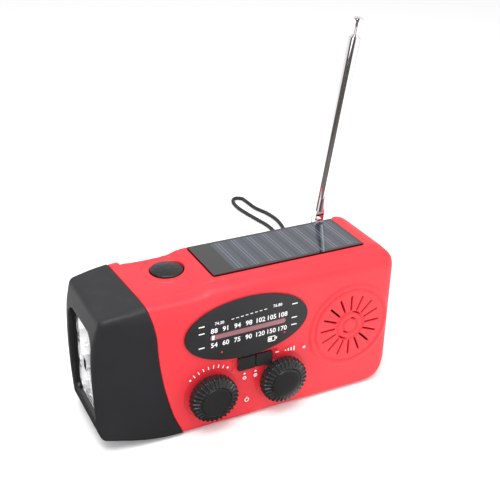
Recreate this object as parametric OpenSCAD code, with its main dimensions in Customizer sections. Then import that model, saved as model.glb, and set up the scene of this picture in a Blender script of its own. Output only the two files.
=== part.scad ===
/* [Casing] */
// Length of the casing, from the lamp end to the speaker end
body_l = 120.8; // [110:0.1:150]
// Depth of the casing, front face to back face
body_w = 40.5; // [38:0.1:50]
// Height of the casing at the solar panel's rim
body_h = 60.5; // [58:0.1:75]
// Wall thickness of the moulded shells
wall = 2; // [1.6:0.1:2.4]
// Step from the deck up to the solar panel's rim
deck_step = 2.2; // [1.5:0.1:3]
// Radius of the shoulder between the front face and the top
shoulder_r = 7.5; // [5:0.1:8]
// Radius of the lower corner at the speaker end
foot_corner_r = 12; // [8:0.5:14]
// Radius of the upper corner at the speaker end
top_corner_r = 9; // [6:0.5:10]
// Radius of the upright corners at the speaker end
plan_corner_r = 6; // [4:0.5:7]
// Width of the rear cover's rim, from its seam to the back face
rear_rim = 4.85; // [4.8:0.05:5.2]

/* [Lamp head] */
// How far the lamp head narrows on each side at its end
head_taper = 2.75; // [1:0.25:3.5]
// Rise of the underside at the lamp's end
head_rise = 6.6; // [4:0.2:8]
// Fall of the deck towards the lamp's end
head_fall = 3; // [1:0.2:4]
// Lamp opening, front to back
lamp_w = 23; // [18:0.5:25]
// Lamp opening, height
lamp_h = 35.6; // [28:0.2:38]
// Depth of the lens below the lamp's rim
lens_depth = 3; // [2:0.1:3.5]
// Thickness of the lens
lens_t = 1.2; // [1:0.1:1.6]
// Depth of the reflector's cups
cup_depth = 6.4; // [5:0.1:7]
// Number of lamp diodes
lamp_count = 3; // [2:1:3]

/* [Controls] */
// Radius of the tuning and volume knobs
knob_r = 9.5; // [8:0.1:9.6]
// Height of the knobs above the front face
knob_h = 5; // [4:0.1:6]
// Number of flutes round each knob
knob_flutes = 30; // [20:1:36]
// Half length of the oval dial
dial_a = 25; // [22:0.5:25.5]
// Half height of the oval dial
dial_b = 12.6; // [11:0.1:12.8]
// Travel of the dial pointer's rack for a full turn of tuning, in degrees
tune_turn = 320; // [270:5:320]
// Turn of the volume knob, in degrees
volume_turn = 290; // [240:5:300]
// Width of the band slider
slider_w = 14.4; // [12:0.1:15]
// Travel of the band slider each way from its middle position
slider_travel = 2; // [1:0.1:2.2]
// Radius of the lamp button
button_r = 6.3; // [5:0.1:7]
// Travel of the lamp button
button_travel = 0.8; // [0.5:0.1:1]

/* [Solar panel] */
// Length of the solar panel
solar_l = 64; // [56:0.5:66]
// Width of the solar panel
solar_w = 24.6; // [22:0.1:25]
// Thickness of the solar panel
solar_t = 1.4; // [1:0.1:1.6]

/* [Speaker] */
// Radius of the loudspeaker's basket
speaker_r = 15; // [12:0.5:15.5]
// Number of slots in the grille
grille_slots = 16; // [10:1:20]
// Width of a grille slot
slot_w = 0.9; // [0.6:0.1:1.2]

/* [Crank] */
// Radius of the round dish that the folded crank turns in
dish_r = 23; // [21:0.25:23]
// Reach of the crank arm beyond the hub's centre when it is folded
arm_reach = 20.5; // [18:0.25:20.5]
// Distance of the arm's hinge from the hub's centre
arm_hinge = 7; // [6:0.25:7.5]
// Width of the crank arm
arm_w = 10.6; // [9.6:0.2:11]
// Radius of the crank's grip
grip_r = 2.8; // [2.4:0.1:2.9]
// Module of the gears
gear_m = 0.7; // [0.6:0.05:0.7]
// Teeth on the drive gear
drive_z = 40; // [36:1:40]
// Teeth on the small gears
pinion_z = 10; // [10:1:11]
// Teeth on the idler's large gear
idler_z = 32; // [28:1:32]
// Width of each gear
gear_t = 3; // [2.4:0.1:3]

/* [Antenna] */
// Outer radius of the antenna's first tube
tube_r = 2.4; // [2.2:0.05:2.4]
// Step in radius from one tube to the next
tube_step = 0.4; // [0.35:0.01:0.4]
// Length from the pivot to the end of the first tube
tube_l = 76; // [60:0.5:78]
// Lean of the antenna away from upright, in degrees
antenna_lean = 8.8; // [0:0.1:20]

/* [Strap and sockets] */
// Radius of the strap's cord
strap_r = 1; // [0.8:0.1:1.2]
// Width of the rubber cover over the sockets
cover_w = 16; // [14:0.5:16.5]
// Height of the rubber cover over the sockets
cover_h = 12; // [11:0.5:12.5]

/* [Hidden] */
$fn = 64;

// Finishes
RED = [0.93, 0.2, 0.24];
CHARCOAL = [0.23, 0.23, 0.24];
BLACK = [0.08, 0.08, 0.085];
CHROME = [0.85, 0.85, 0.87];
STEEL = [0.6, 0.61, 0.63];
BRASS = [0.8, 0.66, 0.34];
BOARD = [0.1, 0.36, 0.2];
COPPER = [0.72, 0.4, 0.22];
CREAM = [0.9, 0.89, 0.84];
CLEAR = [0.85, 0.9, 0.95, 0.4];

// Fits and gaps
run_fit = 0.05;
slip_fit = 0.15;
seat_gap = 0.3;

// Faces of the casing
end_x = body_l / 2;
front_y = -body_w / 2;
back_y = body_w / 2;
deck_z = body_h - deck_step;
part_y = back_y - rear_rim;
inner_front = front_y + wall;

// Seam between the lamp head and the shells
seam_turn = 10;
seam_gap = 0.1;
lip_l = 3;
lip_t = 1.2;

// Lamp
lamp_z = 28.8;
head_corner_r = 3.5;
lamp_corner_r = 4;
frame_t = 1.2;
lens_x = -end_x + lens_depth;
cup_x = lens_x + lens_t + slip_fit;
cup_pitch = (lamp_h - 3) / lamp_count;
board_t = 1.2;

// Front controls
tune_x = -19.6;
volume_x = 9.6;
knob_z = 15.7;
knob_well_r = knob_r + 0.8;
knob_well_d = 0.8;
shaft_r = 2;
dial_x = -5;
dial_z = 41.6;
dial_t = 0.7;
window_w = 31;
window_h = 2.2;
window_z = dial_z - 1.1;
slider_x = -1.4;
slider_z = 25.6;
slider_h = 5.3;
slider_well_h = slider_h + 0.8;
slider_well_w = slider_w + 2 * slider_travel + 0.8;
slider_well_d = 1.4;

// Tuning rack
rack_z = 14;
rack_r = gear_m * rack_z / 2;
rack_travel = rack_r * tune_turn * PI / 180;
rack_y0 = inner_front + 5.85;
rack_y1 = rack_y0 + 2;
pointer_x = tune_x + 1.2;

// Lamp button
button_x = -26.6;
button_y = 4.7;
button_flange = 1;

// Solar panel
solar_x0 = -14.4;
solar_y0 = -10.4;
solar_gap = 0.2;
solar_floor = body_h - solar_t - 0.25;

// Speaker
speaker_x = 40;
speaker_z = 30.5;
slot_r0 = 6.4;
slot_r1 = 13.4;
ring_r = 15.8;
ring_w = 0.7;
ring_d = 0.4;

// Crank and gears
crank_x = 8;
crank_z = 27.4;
dish_y = 12.4;
hub_y0 = dish_y + seat_gap;
hub_y1 = hub_y0 + 1.5;
arm_y0 = hub_y1 + seat_gap;
arm_y1 = arm_y0 + 4.6;
hinge_x = crank_x - arm_hinge;
hinge_y = arm_y1 - 0.8;
knuckle_r = 2;
pin_r = 0.8;
ear_gap = 0.3;
ear_t = 2;
knuckle_w = 6.4;
arm_start = 5.2;
grip_y = arm_y1 - 1.5;
grip_hinge_x = crank_x + arm_reach - 2.6;
grip_l = 14.6;
grip_end_x = grip_hinge_x - 2.6;
window_gap = 0.4;
crank_shaft_r = 2;
gear2_y = dish_y - wall - 0.8;
gear1_y = gear2_y - gear_t - 0.4;
plate_y1 = gear1_y - gear_t - 0.6;
plate_t = 1.2;
drive_r = gear_m * drive_z / 2;
pinion_r = gear_m * pinion_z / 2;
idler_r = gear_m * idler_z / 2;
idler_x = crank_x + drive_r + pinion_r;
dynamo_x = idler_x + idler_r + pinion_r;
dynamo_r = 11;
dynamo_t = 5.4;
gear_lash = 0.14;
pressure = 25;

// Antenna
mast_x = 45.6;
mast_y = back_y - 2.05;
mast_z = body_h - 2.3;
groove_z = mast_z - tube_r - 1.2;
groove_x0 = -41;
groove_x1 = mast_x + 4;
tube_root = 6;
tongue_t = 2.4;
cheek_t = 1;
cheek_r = 2.1;
swivel_r = norm([cheek_r, tongue_t / 2 + cheek_t + 0.05]) + 0.3;
tip_rod_l = 4;
tip_cap_l = 4;
tip_cap_r = 2;

// Boards and battery
board_y1 = plate_y1 - plate_t - 2.2;
main_board_t = 1.6;
board_x0 = -28;
board_x1 = 24;
board_z0 = 4;
board_z1 = 46;
post_r = 2.6;
screw_r = 1.1;
screw_head_r = 2.1;
screw_posts = [[-31, 6.5], [-34.5, 47], [31, 6.5], [53, 45.5]];

// Sockets
port_x = 45.5;
port_z = 13;
port_well_d = 1.8;
usb_z = port_z + 2.2;
charge_z = port_z - 3.4;

// Strap lug
lug_x = 51.8;
lug_t = 2.6;
lug_y = back_y + 2.6;
lug_z = 32;
lug_r = 3;
lug_hole_r = 1.5;

// ---- Shared shapes ----

// Points of an arc round c
function arc(c, r, a0, a1, n = 6) =
    [for (i = [0:n]) c + r * [cos(a0 + (a1 - a0) * i / n), sin(a0 + (a1 - a0) * i / n)]];

// A front-view outline, from y0 back to y1
module xz(y0, y1) {
    translate([0, y1, 0]) rotate([90, 0, 0]) linear_extrude(y1 - y0) children();
}

// An end-view outline, from x0 to x1
module yz(x0, x1) {
    translate([x0, 0, 0]) rotate([90, 0, 90]) linear_extrude(x1 - x0) children();
}

// A plan outline, from z0 up to z1
module xy(z0, z1) {
    translate([0, 0, z0]) linear_extrude(z1 - z0) children();
}

// A cylinder along X, Y or Z
module x_rod(x0, x1, y, z, r) {
    translate([x0, y, z]) rotate([0, 90, 0]) cylinder(r = r, h = x1 - x0);
}

module y_rod(x, y0, y1, z, r) {
    translate([x, y1, z]) rotate([90, 0, 0]) cylinder(r = r, h = y1 - y0);
}

module z_rod(x, y, z0, z1, r) {
    translate([x, y, z0]) cylinder(r = r, h = z1 - z0);
}

// A box from its lowest corner to its highest
module box(low, high) {
    translate(low) cube(high - low);
}

// A rectangle with round corners, centred at c, each corner of n straight steps
module round_rect(c, w, h, r, n = 8) {
    translate(c) polygon([for (k = [0:3], p = arc(
        [(k == 0 || k == 3 ? 1 : -1) * (w / 2 - r), (k < 2 ? 1 : -1) * (h / 2 - r)],
        r, 90 * k, 90 * k + 90, n)) p]);
}

// ---- The casing's form ----

// Outline seen from the front
side_points = concat(
    arc([-end_x + head_corner_r, head_rise + head_corner_r], head_corner_r, 180, 258, 5),
    [[-46, head_rise * 0.45], [-37, head_rise * 0.15], [-27, 0]],
    arc([end_x - foot_corner_r, foot_corner_r], foot_corner_r, 270, 360, 10),
    arc([end_x - top_corner_r, body_h - top_corner_r], top_corner_r, 0, 90, 8),
    [[-16, body_h], [-19, body_h - 0.3 * deck_step], [-22, deck_z + 0.1 * deck_step], [-25, deck_z]],
    [[-42.5, deck_z]],
    arc([-end_x + head_corner_r, deck_z - head_fall - head_corner_r], head_corner_r, 99, 180, 5));

// Outline seen from the lamp's end
section_points = concat(
    arc([front_y + 2, 2], 2, 180, 270, 4),
    arc([back_y - 3, 3], 3, 270, 360, 4),
    arc([back_y - 3, body_h - 3], 3, 0, 90, 4),
    [[solar_y0 - 1.8, body_h], [solar_y0 - 2.4, body_h - 0.6]],
    arc([front_y + shoulder_r, body_h - 1.2 - shoulder_r], shoulder_r, 92, 180, 9));

// Outline seen from above
plan_half = concat(
    arc([end_x - plan_corner_r, back_y - plan_corner_r], plan_corner_r, 0, 90, 7),
    [[-42, back_y], [-49, back_y - 0.25 * head_taper]],
    arc([-end_x + head_corner_r, back_y - head_taper - head_corner_r], head_corner_r, 98, 180, 6));
plan_points = concat([for (p = plan_half) p],
    [for (i = [len(plan_half) - 1:-1:0]) [plan_half[i][0], -plan_half[i][1]]]);

// The casing's outer form, taken in by d all over
module form(d = 0) {
    intersection() {
        xz(front_y - 1, back_y + 1) offset(delta = -d) polygon(side_points);
        yz(-end_x - 1, end_x + 1) offset(delta = -d) polygon(section_points);
        xy(-1, body_h + 1) offset(delta = -d) polygon(plan_points);
    }
}

// Everything on the lamp's side of the seam, the seam moved by grow towards the speaker
module head_zone(grow = 0) {
    translate([grow, 0, 0]) rotate([0, 0, seam_turn]) xz(-40, 40)
        polygon(concat([[-90, -5], [-33, -5]],
            [[-35.4, 0], [-37.6, 5], [-39.6, 10], [-41.3, 17], [-42.9, 24], [-44.1, 31]],
            [[-44.8, 38], [-44.9, 48], [-45.2, 54], [-46.6, 60], [-48, 70], [-90, 70]]));
}

// The oval of the dial
module dial_oval(grow = 0) {
    translate([dial_x, dial_z]) scale([(dial_a + grow) / (dial_b + grow), 1])
        circle(r = dial_b + grow, $fn = 96);
}

// A gear's outline, with a tooth centred on +X
function involute(a) = tan(a) * 180 / PI - a;
function gear_points(z, m) = let (
    r = m * z / 2,
    rb = r * cos(pressure),
    ra = r + m,
    rf = r - 1.25 * m,
    half = 90 / z - gear_lash * 90 / (PI * r) + involute(pressure),
    radii = concat([rf], [for (k = [0:3]) max(rb, rf) + (ra - max(rb, rf)) * k / 3]),
    spread = [for (q = radii) half - involute(q > rb ? acos(rb / q) : 0)])
    [for (i = [0:z - 1], k = [0:2 * len(radii) - 1])
        let (j = k < len(radii) ? k : 2 * len(radii) - 1 - k, s = k < len(radii) ? -1 : 1)
        radii[j] * [cos(i * 360 / z + s * spread[j]), sin(i * 360 / z + s * spread[j])]];

// A gear on an axis along Y, with a bore, turned by phase
module y_gear(x, z, y0, y1, teeth, bore, phase = 0) {
    difference() {
        translate([x, 0, z]) xz(y0, y1) rotate(phase) polygon(gear_points(teeth, gear_m));
        y_rod(x, y0 - 1, y1 + 1, z, bore);
    }
}

// ---- Casing ----

// A screw post that stands on the front wall, with its pilot hole
module screw_post(p) {
    y_rod(p[0], inner_front - 0.5, part_y - 0.05, p[1], post_r);
}

// The grille's slots, its two split rings and the groove round them
module grille_cuts() {
    difference() {
        y_rod(speaker_x, front_y - 1, front_y + ring_d, speaker_z, ring_r + ring_w / 2);
        y_rod(speaker_x, front_y - 2, front_y + 1, speaker_z, ring_r - ring_w / 2);
    }
    for (i = [0:grille_slots - 1])
        translate([speaker_x, 0, speaker_z]) rotate([0, i * 360 / grille_slots, 0])
            xz(front_y - 1, inner_front + 1) round_rect([(slot_r0 + slot_r1) / 2, 0], slot_r1 - slot_r0, slot_w, slot_w / 2 - 0.05, 3);
    for (r = [3.2, 5.9], a = [-60, 120])
        translate([speaker_x, 0, speaker_z]) xz(front_y - 1, inner_front + 1)
            polygon(concat(arc([0, 0], r, a, a + 120, 10), arc([0, 0], r - 0.9, a + 120, a, 10)));
}

// Solid parts of the front shell, before its openings are cut
module front_mass() {
    intersection() {
        union() {
            difference() {
                form();
                form(wall);
            }
            box([-16.5, -12.5, solar_floor - wall], [51.5, part_y, body_h]);
            box([-40, part_y - wall, groove_z - wall], [56, part_y, body_h]);
            z_rod(button_x, button_y, deck_z - wall - 1.6, deck_z - 0.5, button_r + 2.4);
            for (p = screw_posts) screw_post(p);
            xz(inner_front - 0.5, inner_front + 1) difference() {
                translate([speaker_x, speaker_z]) circle(r = speaker_r + 1.6);
                translate([speaker_x, speaker_z]) circle(r = speaker_r + 0.2);
            }
        }
        form();
        box([-70, front_y - 1, -1], [70, part_y, body_h + 1]);
    }
}

module front_shell() {
    color(RED) difference() {
        front_mass();
        head_zone(seam_gap);
        box([solar_x0 - solar_gap, solar_y0 - solar_gap, solar_floor],
            [solar_x0 + solar_l + solar_gap, solar_y0 + solar_w + solar_gap, body_h + 1]);
        z_rod(button_x, button_y, deck_z - wall - 3, deck_z + 1, button_r + 0.25);
        z_rod(button_x, button_y, deck_z - wall - 3, deck_z - wall + 0.4, button_r + 1.3);
        xz(front_y - 1, front_y + dial_t) dial_oval(0.15);
        xz(front_y - 1, inner_front + 1)
            round_rect([dial_x + 0.2, window_z], window_w - 1, window_h + 1.6, 0.8);
        for (x = [tune_x, volume_x]) {
            y_rod(x, front_y - 1, front_y + knob_well_d, knob_z, knob_well_r);
            y_rod(x, front_y - 1, inner_front + 1, knob_z, shaft_r + run_fit);
        }
        xz(front_y - 1, front_y + slider_well_d)
            round_rect([slider_x, slider_z], slider_well_w, slider_well_h, 0.4);
        xz(front_y - 1, inner_front + 1)
            round_rect([slider_x, slider_z], 2 * slider_travel + 4.4, 3.2, 0.3);
        grille_cuts();
        z_rod(mast_x, mast_y, groove_z, body_h + 1, swivel_r);
        for (p = screw_posts) y_rod(p[0], part_y - 9, part_y + 1, p[1], screw_r - 0.15);
    }
}

module rear_mass() {
    intersection() {
        union() {
            difference() {
                form();
                form(wall);
            }
            y_rod(crank_x, dish_y - wall, back_y, crank_z, dish_r + wall);
            y_rod(crank_x, dish_y - wall - 0.6, dish_y, crank_z, 5);
            box([-60, part_y, groove_z - wall], [56, back_y, groove_z]);
            y_rod(idler_x, gear2_y + 0.3, dish_y, crank_z, 3);
            for (p = screw_posts) y_rod(p[0], part_y, back_y, p[1], screw_head_r + 1.4);
            box([mast_x - 4, part_y, groove_z - 4.6], [mast_x + 4, back_y, groove_z]);
            xz(back_y - port_well_d - 1.6, back_y)
                round_rect([port_x, port_z], cover_w + 4, cover_h + 3, 1.5);
        }
        form();
    }
}

module rear_cover() {
    color(RED) {
        difference() {
            rear_mass();
            head_zone(seam_gap);
            difference() {
                box([-70, front_y - 1, -1], [70, part_y, body_h + 1]);
                y_rod(crank_x, dish_y - wall - 1, part_y + 0.1, crank_z, dish_r + wall);
            }
            y_rod(crank_x, dish_y, back_y + 1, crank_z, dish_r);
            y_rod(crank_x, dish_y - wall - 2, dish_y + 1, crank_z, crank_shaft_r + 1.2);
            y_rod(idler_x, gear2_y - 1, dish_y - 0.8, crank_z, 1);
            box([groove_x0, part_y - 1, groove_z], [groove_x1, back_y + 1, body_h + 1]);
            z_rod(groove_x1, mast_y, groove_z, body_h + 1, 3.2);
            z_rod(mast_x, mast_y, groove_z - 6, groove_z + 1, 1.5 + run_fit);
            xz(back_y - port_well_d, back_y + 1)
                round_rect([port_x, port_z], cover_w + 0.5, cover_h + 0.5, 1.2);
            xz(back_y - port_well_d - 2, back_y)
                round_rect([port_x, usb_z], 13.4, 5.9, 0.4);
            xz(back_y - port_well_d - 2, back_y)
                round_rect([port_x, charge_z], 8, 3.4, 0.4);
            for (p = screw_posts) {
                y_rod(p[0], back_y - 2.2, back_y + 1, p[1], screw_head_r + 0.3);
                y_rod(p[0], part_y - 1, back_y + 1, p[1], screw_r + 0.2);
            }
        }
        difference() {
            yz(lug_x - lug_t / 2, lug_x + lug_t / 2) hull() {
                translate([lug_y, lug_z]) circle(r = lug_r, $fn = 32);
                translate([back_y - 0.5, lug_z - lug_r - 1.5]) square([0.6, 2 * lug_r + 3]);
            }
            x_rod(lug_x - lug_t, lug_x + lug_t, lug_y, lug_z, lug_hole_r);
        }
    }
}

module head_bezel() {
    color(CHARCOAL) difference() {
        union() {
            intersection() {
                difference() {
                    form();
                    form(wall);
                }
                head_zone(-seam_gap);
            }
            intersection() {
                difference() {
                    form(wall + seam_gap);
                    form(wall + seam_gap + lip_t);
                }
                head_zone(lip_l);
                box([-58, -30, 12], [0, 30, 52]);
            }
            intersection() {
                form(wall - 0.2);
                box([-end_x, -30, 0], [-end_x + 4, 30, 60]);
            }
        }
        yz(-end_x - 1, -end_x + 9) round_rect([0, lamp_z], lamp_w, lamp_h, lamp_corner_r);
    }
}

// ---- Lamp ----

module lens_frame() {
    color(BLACK) difference() {
        yz(-end_x + 0.4, cup_x + 1) round_rect([0, lamp_z], lamp_w - 0.1, lamp_h - 0.1, lamp_corner_r);
        yz(-end_x, lens_x)
            round_rect([0, lamp_z], lamp_w - 2 * frame_t, lamp_h - 2 * frame_t, lamp_corner_r - frame_t);
        yz(lens_x - 1, cup_x + 2)
            round_rect([0, lamp_z], lamp_w - 1.2, lamp_h - 1.2, lamp_corner_r - 0.6);
    }
}

module lens() {
    color(CLEAR) yz(lens_x, lens_x + lens_t)
        round_rect([0, lamp_z], lamp_w - 1.4, lamp_h - 1.4, lamp_corner_r - 0.7);
}

module reflector() {
    color(CHROME) difference() {
        union() {
            yz(cup_x, cup_x + 0.9)
                round_rect([0, lamp_z], lamp_w - 1.6, lamp_h - 1.6, lamp_corner_r - 0.8);
            yz(cup_x + 0.9, cup_x + cup_depth)
                round_rect([0, lamp_z], lamp_w - 9, lamp_h - 3, lamp_corner_r);
        }
        for (i = [0:lamp_count - 1])
            translate([cup_x, 0, lamp_z + (i - (lamp_count - 1) / 2) * cup_pitch])
                rotate([0, 90, 0]) rotate_extrude()
                    polygon([[0, -1], [5.2, -1], [5.2, 0], [4.7, 1.6], [3.9, 3.4], [2.7, cup_depth - 1],
                        [2.7, cup_depth + 1], [0, cup_depth + 1]]);
    }
}

module lamp_diodes() {
    color(CREAM) for (i = [0:lamp_count - 1])
        translate([cup_x + cup_depth - 4, 0, lamp_z + (i - (lamp_count - 1) / 2) * cup_pitch])
            rotate([0, 90, 0]) rotate_extrude()
                polygon(concat([[0, 4], [2.6, 4], [2.6, 3.3], [2.4, 3.3]],
                    [[2.4, 1.6], [2, 0.7], [1.2, 0.15], [0, 0]]));
}

module lamp_board() {
    color(BOARD) yz(cup_x + cup_depth + 0.05, cup_x + cup_depth + 0.05 + board_t)
        round_rect([0, lamp_z], 15, lamp_h - 4, 1);
}

// ---- Top ----

module solar_panel() {
    color(CHARCOAL) box([solar_x0, solar_y0, solar_floor + 0.05],
        [solar_x0 + solar_l, solar_y0 + solar_w, solar_floor + 0.05 + solar_t]);
}

button_flange_z = deck_z - wall + 0.4 - seat_gap - button_flange;
switch_top = button_flange_z - 2.8;
bracket_z = switch_top - 3.5;

module light_button() {
    color(BLACK) translate([button_x, button_y, 0]) {
        translate([0, 0, button_flange_z]) cylinder(r = button_r + button_flange, h = button_flange);
        translate([0, 0, switch_top + 1.6]) cylinder(r = 1.5, h = button_flange_z - switch_top - 1.5);
        rotate_extrude() polygon(concat([[0, button_flange_z + 0.5], [button_r, button_flange_z + 0.5]],
            [for (i = [0:6]) [button_r - 0.2 - 0.7 * i, deck_z + 0.85 - 0.85 * pow(1 - i / 7, 2.2)]],
            [[0, deck_z + 0.9]]));
    }
}

// A round wire swept along points
module wire(points, r, sides = 6) {
    n = len(points);
    way = [for (i = [0:n - 1]) let (
        a = points[max(i - 1, 0)],
        b = points[min(i + 1, n - 1)]) (b - a) / norm(b - a)];
    side = [for (w = way) let (s = cross(w, abs(w[2]) > 0.95 ? [1, 0, 0] : [0, 0, 1])) s / norm(s)];
    rings = [for (i = [0:n - 1], k = [0:sides - 1]) let (t = k * 360 / sides)
        points[i] + r * (cos(t) * side[i] + sin(t) * cross(side[i], way[i]))];
    walls = [for (i = [0:n - 2], k = [0:sides - 1]) let (j = (k + 1) % sides)
        [i * sides + k, i * sides + j, (i + 1) * sides + j, (i + 1) * sides + k]];
    ends = [[for (k = [sides - 1:-1:0]) k], [for (k = [0:sides - 1]) (n - 1) * sides + k]];
    polyhedron(rings, concat(walls, ends), convexity = 8);
}

module button_spring() {
    turns = 3;
    steps = 14 * turns;
    z0 = switch_top + 0.35;
    z1 = button_flange_z - 0.4;
    color(STEEL) wire([for (i = [0:steps]) let (t = i / steps)
        [button_x + 2.45 * cos(t * 360 * turns), button_y + 2.45 * sin(t * 360 * turns), z0 + (z1 - z0) * t]],
        0.28);
}

module button_switch() {
    color(BLACK) {
        box([button_x - 3, button_y - 3, bracket_z], [button_x + 3, button_y + 3, switch_top]);
        z_rod(button_x, button_y, switch_top - 0.1, switch_top + 0.65, 1.6);
    }
}

module button_bracket() {
    color(BOARD) {
        box([button_x - 4.2, board_y1, bracket_z - board_t], [button_x + 5, button_y + 4, bracket_z]);
        box([button_x - 1.2, board_y1, board_z1 - 5], [button_x + 5, board_y1 + board_t, bracket_z - 0.5]);
    }
}

// ---- Dial and knobs ----

module dial_panel() {
    color(CHARCOAL) xz(front_y, front_y + dial_t) difference() {
        dial_oval();
        round_rect([dial_x + 0.3, window_z], window_w, window_h, window_h / 2 - 0.1);
    }
}

module dial_window() {
    color(CLEAR) xz(front_y + 0.15, front_y + 0.5)
        round_rect([dial_x + 0.3, window_z], window_w - 0.1, window_h - 0.1, window_h / 2 - 0.2);
}

pitch = PI * gear_m;
rack_pitch_z = knob_z + rack_r;
rack_first = -ceil(rack_travel / pitch);

module dial_pointer() {
    color(CREAM) {
        xz(rack_y0, rack_y1) {
            polygon(concat([[tune_x + rack_first * pitch - 0.3, rack_pitch_z + 2.8]],
                [[tune_x + rack_first * pitch - 0.3, rack_pitch_z + 1.25 * gear_m]],
                [for (i = [rack_first:1], k = [0:3]) let (
                    flank = gear_m * tan(pressure),
                    foot = pitch / 4 - gear_lash / 2 + 1.25 * flank,
                    tip = pitch / 4 - gear_lash / 2 - flank,
                    off = [-foot, -tip, tip, foot][k])
                    [tune_x + (i + 0.5) * pitch + off,
                        rack_pitch_z + (k == 0 || k == 3 ? 1.25 : -1) * gear_m]],
                [[tune_x + 2 * pitch + 0.3, rack_pitch_z + 1.25 * gear_m]],
                [[tune_x + 2 * pitch + 0.3, rack_pitch_z + 2.8]]));
        }
        box([pointer_x - 1, rack_y0, rack_pitch_z + 2], [pointer_x + 1, rack_y1, window_z + 1]);
        box([pointer_x - 0.6, front_y + dial_t + seat_gap, window_z - 1],
            [pointer_x + 0.6, rack_y1, window_z + 1]);
    }
}

module knob(x) {
    back = front_y - seat_gap;
    face = back - knob_h;
    color(BLACK) difference() {
        translate([x, back, knob_z]) rotate([90, 0, 0]) rotate_extrude()
            polygon([[0, 0], [knob_r - 0.5, 0], [knob_r, 0.5], [knob_r, knob_h - 1.2],
                [knob_r - 0.4, knob_h - 0.5], [knob_r - 1.4, knob_h - 0.1], [knob_r * 0.68, knob_h - 0.1],
                [knob_r * 0.66, knob_h], [0, knob_h]]);
        for (i = [0:knob_flutes - 1]) let (a = i * 360 / knob_flutes)
            y_rod(x + (knob_r + 0.1) * cos(a), face - 1, back + 1, knob_z + (knob_r + 0.1) * sin(a), 0.6);
        y_rod(x, face + 1.2, back + 1, knob_z, shaft_r + 0.02);
    }
}

module tuning_knob() {
    knob(tune_x);
}

module volume_knob() {
    knob(volume_x);
}

pot_y0 = rack_y1 + 0.6;
pot_y1 = board_y1 - main_board_t;

module tuning_shaft() {
    color(STEEL) union() {
        y_rod(tune_x, front_y - knob_h + 1.2, pot_y1 - 2, knob_z, shaft_r);
        y_gear(tune_x, knob_z, rack_y0, rack_y1, rack_z, shaft_r - 0.2, 90);
    }
}

module tuning_capacitor() {
    color(CREAM) difference() {
        box([tune_x - 8, pot_y0, knob_z - 8], [tune_x + 8, pot_y1, knob_z + 8]);
        y_rod(tune_x, pot_y0 - 1, pot_y1 - 1.5, knob_z, shaft_r + run_fit);
    }
}

module volume_shaft() {
    color(STEEL) y_rod(volume_x, front_y - knob_h + 1.2, pot_y1 - 2, knob_z, shaft_r);
}

module volume_pot() {
    color(STEEL) difference() {
        y_rod(volume_x, pot_y0, pot_y1, knob_z, 7.5);
        y_rod(volume_x, pot_y0 - 1, pot_y1 - 1.5, knob_z, shaft_r + run_fit);
    }
}

switch_y0 = inner_front + 0.05;

module band_slider() {
    y1 = front_y + slider_well_d - seat_gap;
    color(BLACK) {
        for (s = [-1, 1])
            xz(front_y - 0.1, y1) round_rect([slider_x + s * (slider_w / 4 + 0.05), slider_z],
                slider_w / 2 - 0.3, slider_h, 0.4);
        box([slider_x - 0.6, y1 - 0.5, slider_z - slider_h / 2 + 0.3],
            [slider_x + 0.6, y1, slider_z + slider_h / 2 - 0.3]);
        box([slider_x - 1.9, y1 - 0.4, slider_z - 1.3], [slider_x + 1.9, switch_y0 + 2, slider_z + 1.3]);
    }
}

module band_switch() {
    color(STEEL) difference() {
        box([slider_x - 8.5, switch_y0, slider_z - 3], [slider_x + 8.5, rack_y0 - 0.5, slider_z + 3]);
        box([slider_x - slider_travel - 2.2, switch_y0 - 1, slider_z - 1.6],
            [slider_x + slider_travel + 2.2, switch_y0 + 2.4, slider_z + 1.6]);
    }
}

// ---- Speaker ----

module speaker_basket() {
    color(STEEL) translate([speaker_x, inner_front + 1.05, speaker_z]) rotate([-90, 0, 0])
        rotate_extrude() polygon([[speaker_r - 1.4, 0], [speaker_r, 0], [speaker_r, 1.4],
            [speaker_r - 1.6, 1.6], [8.5, 6.2], [8.5, 6.8], [4, 6.8], [4, 6], [7.8, 6],
            [speaker_r - 2.3, 1.1], [speaker_r - 1.4, 0.8]]);
}

module speaker_cone() {
    color(BLACK) translate([speaker_x, inner_front + 1.05, speaker_z]) rotate([-90, 0, 0])
        rotate_extrude() polygon([[0, 2.1], [2, 2.5], [3.4, 3.6], [speaker_r - 3, 0.5],
            [speaker_r - 1.6, 0.1], [speaker_r - 1.6, 0.5], [speaker_r - 2.9, 0.9], [3.7, 5.4],
            [3.7, 5.8], [3.1, 5.8], [3.1, 4], [1.8, 2.9], [0, 2.5]]);
}

module speaker_magnet() {
    color(STEEL) y_rod(speaker_x, inner_front + 7.9, plate_y1 - plate_t - dynamo_t - 0.5, speaker_z, 8);
}

// ---- Boards and battery ----

rod_y = -6.5;
rod_z = 50;

module main_board() {
    color(BOARD) xz(board_y1 - main_board_t, board_y1) difference() {
        translate([board_x0, board_z0]) square([board_x1 - board_x0, board_z1 - board_z0]);
        translate([board_x1 - 4, board_z0 + 4]) circle(r = 1.5);
        translate([board_x0 + 4, board_z1 - 4]) circle(r = 1.5);
    }
}

module board_parts() {
    y1 = board_y1 - main_board_t;
    color(BLACK) {
        box([-3, y1 - 2, 28], [7, y1, 36]);
        box([12, y1 - 1.6, 32], [19, y1, 38]);
        box([-24, y1 - 1.4, 30], [-18, y1, 35]);
        for (x = [-12, -6]) y_rod(x, y1 - 5, y1, 38, 2.2);
        y_rod(16, y1 - 4, y1, 43, 2);
        for (x = [-27, 21]) difference() {
            box([x, rod_y - 2.6, board_z1 - 3], [x + 3, y1, rod_z - 0.6]);
            x_rod(x - 1, x + 4, rod_y, rod_z, 3.05);
        }
    }
}

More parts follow.
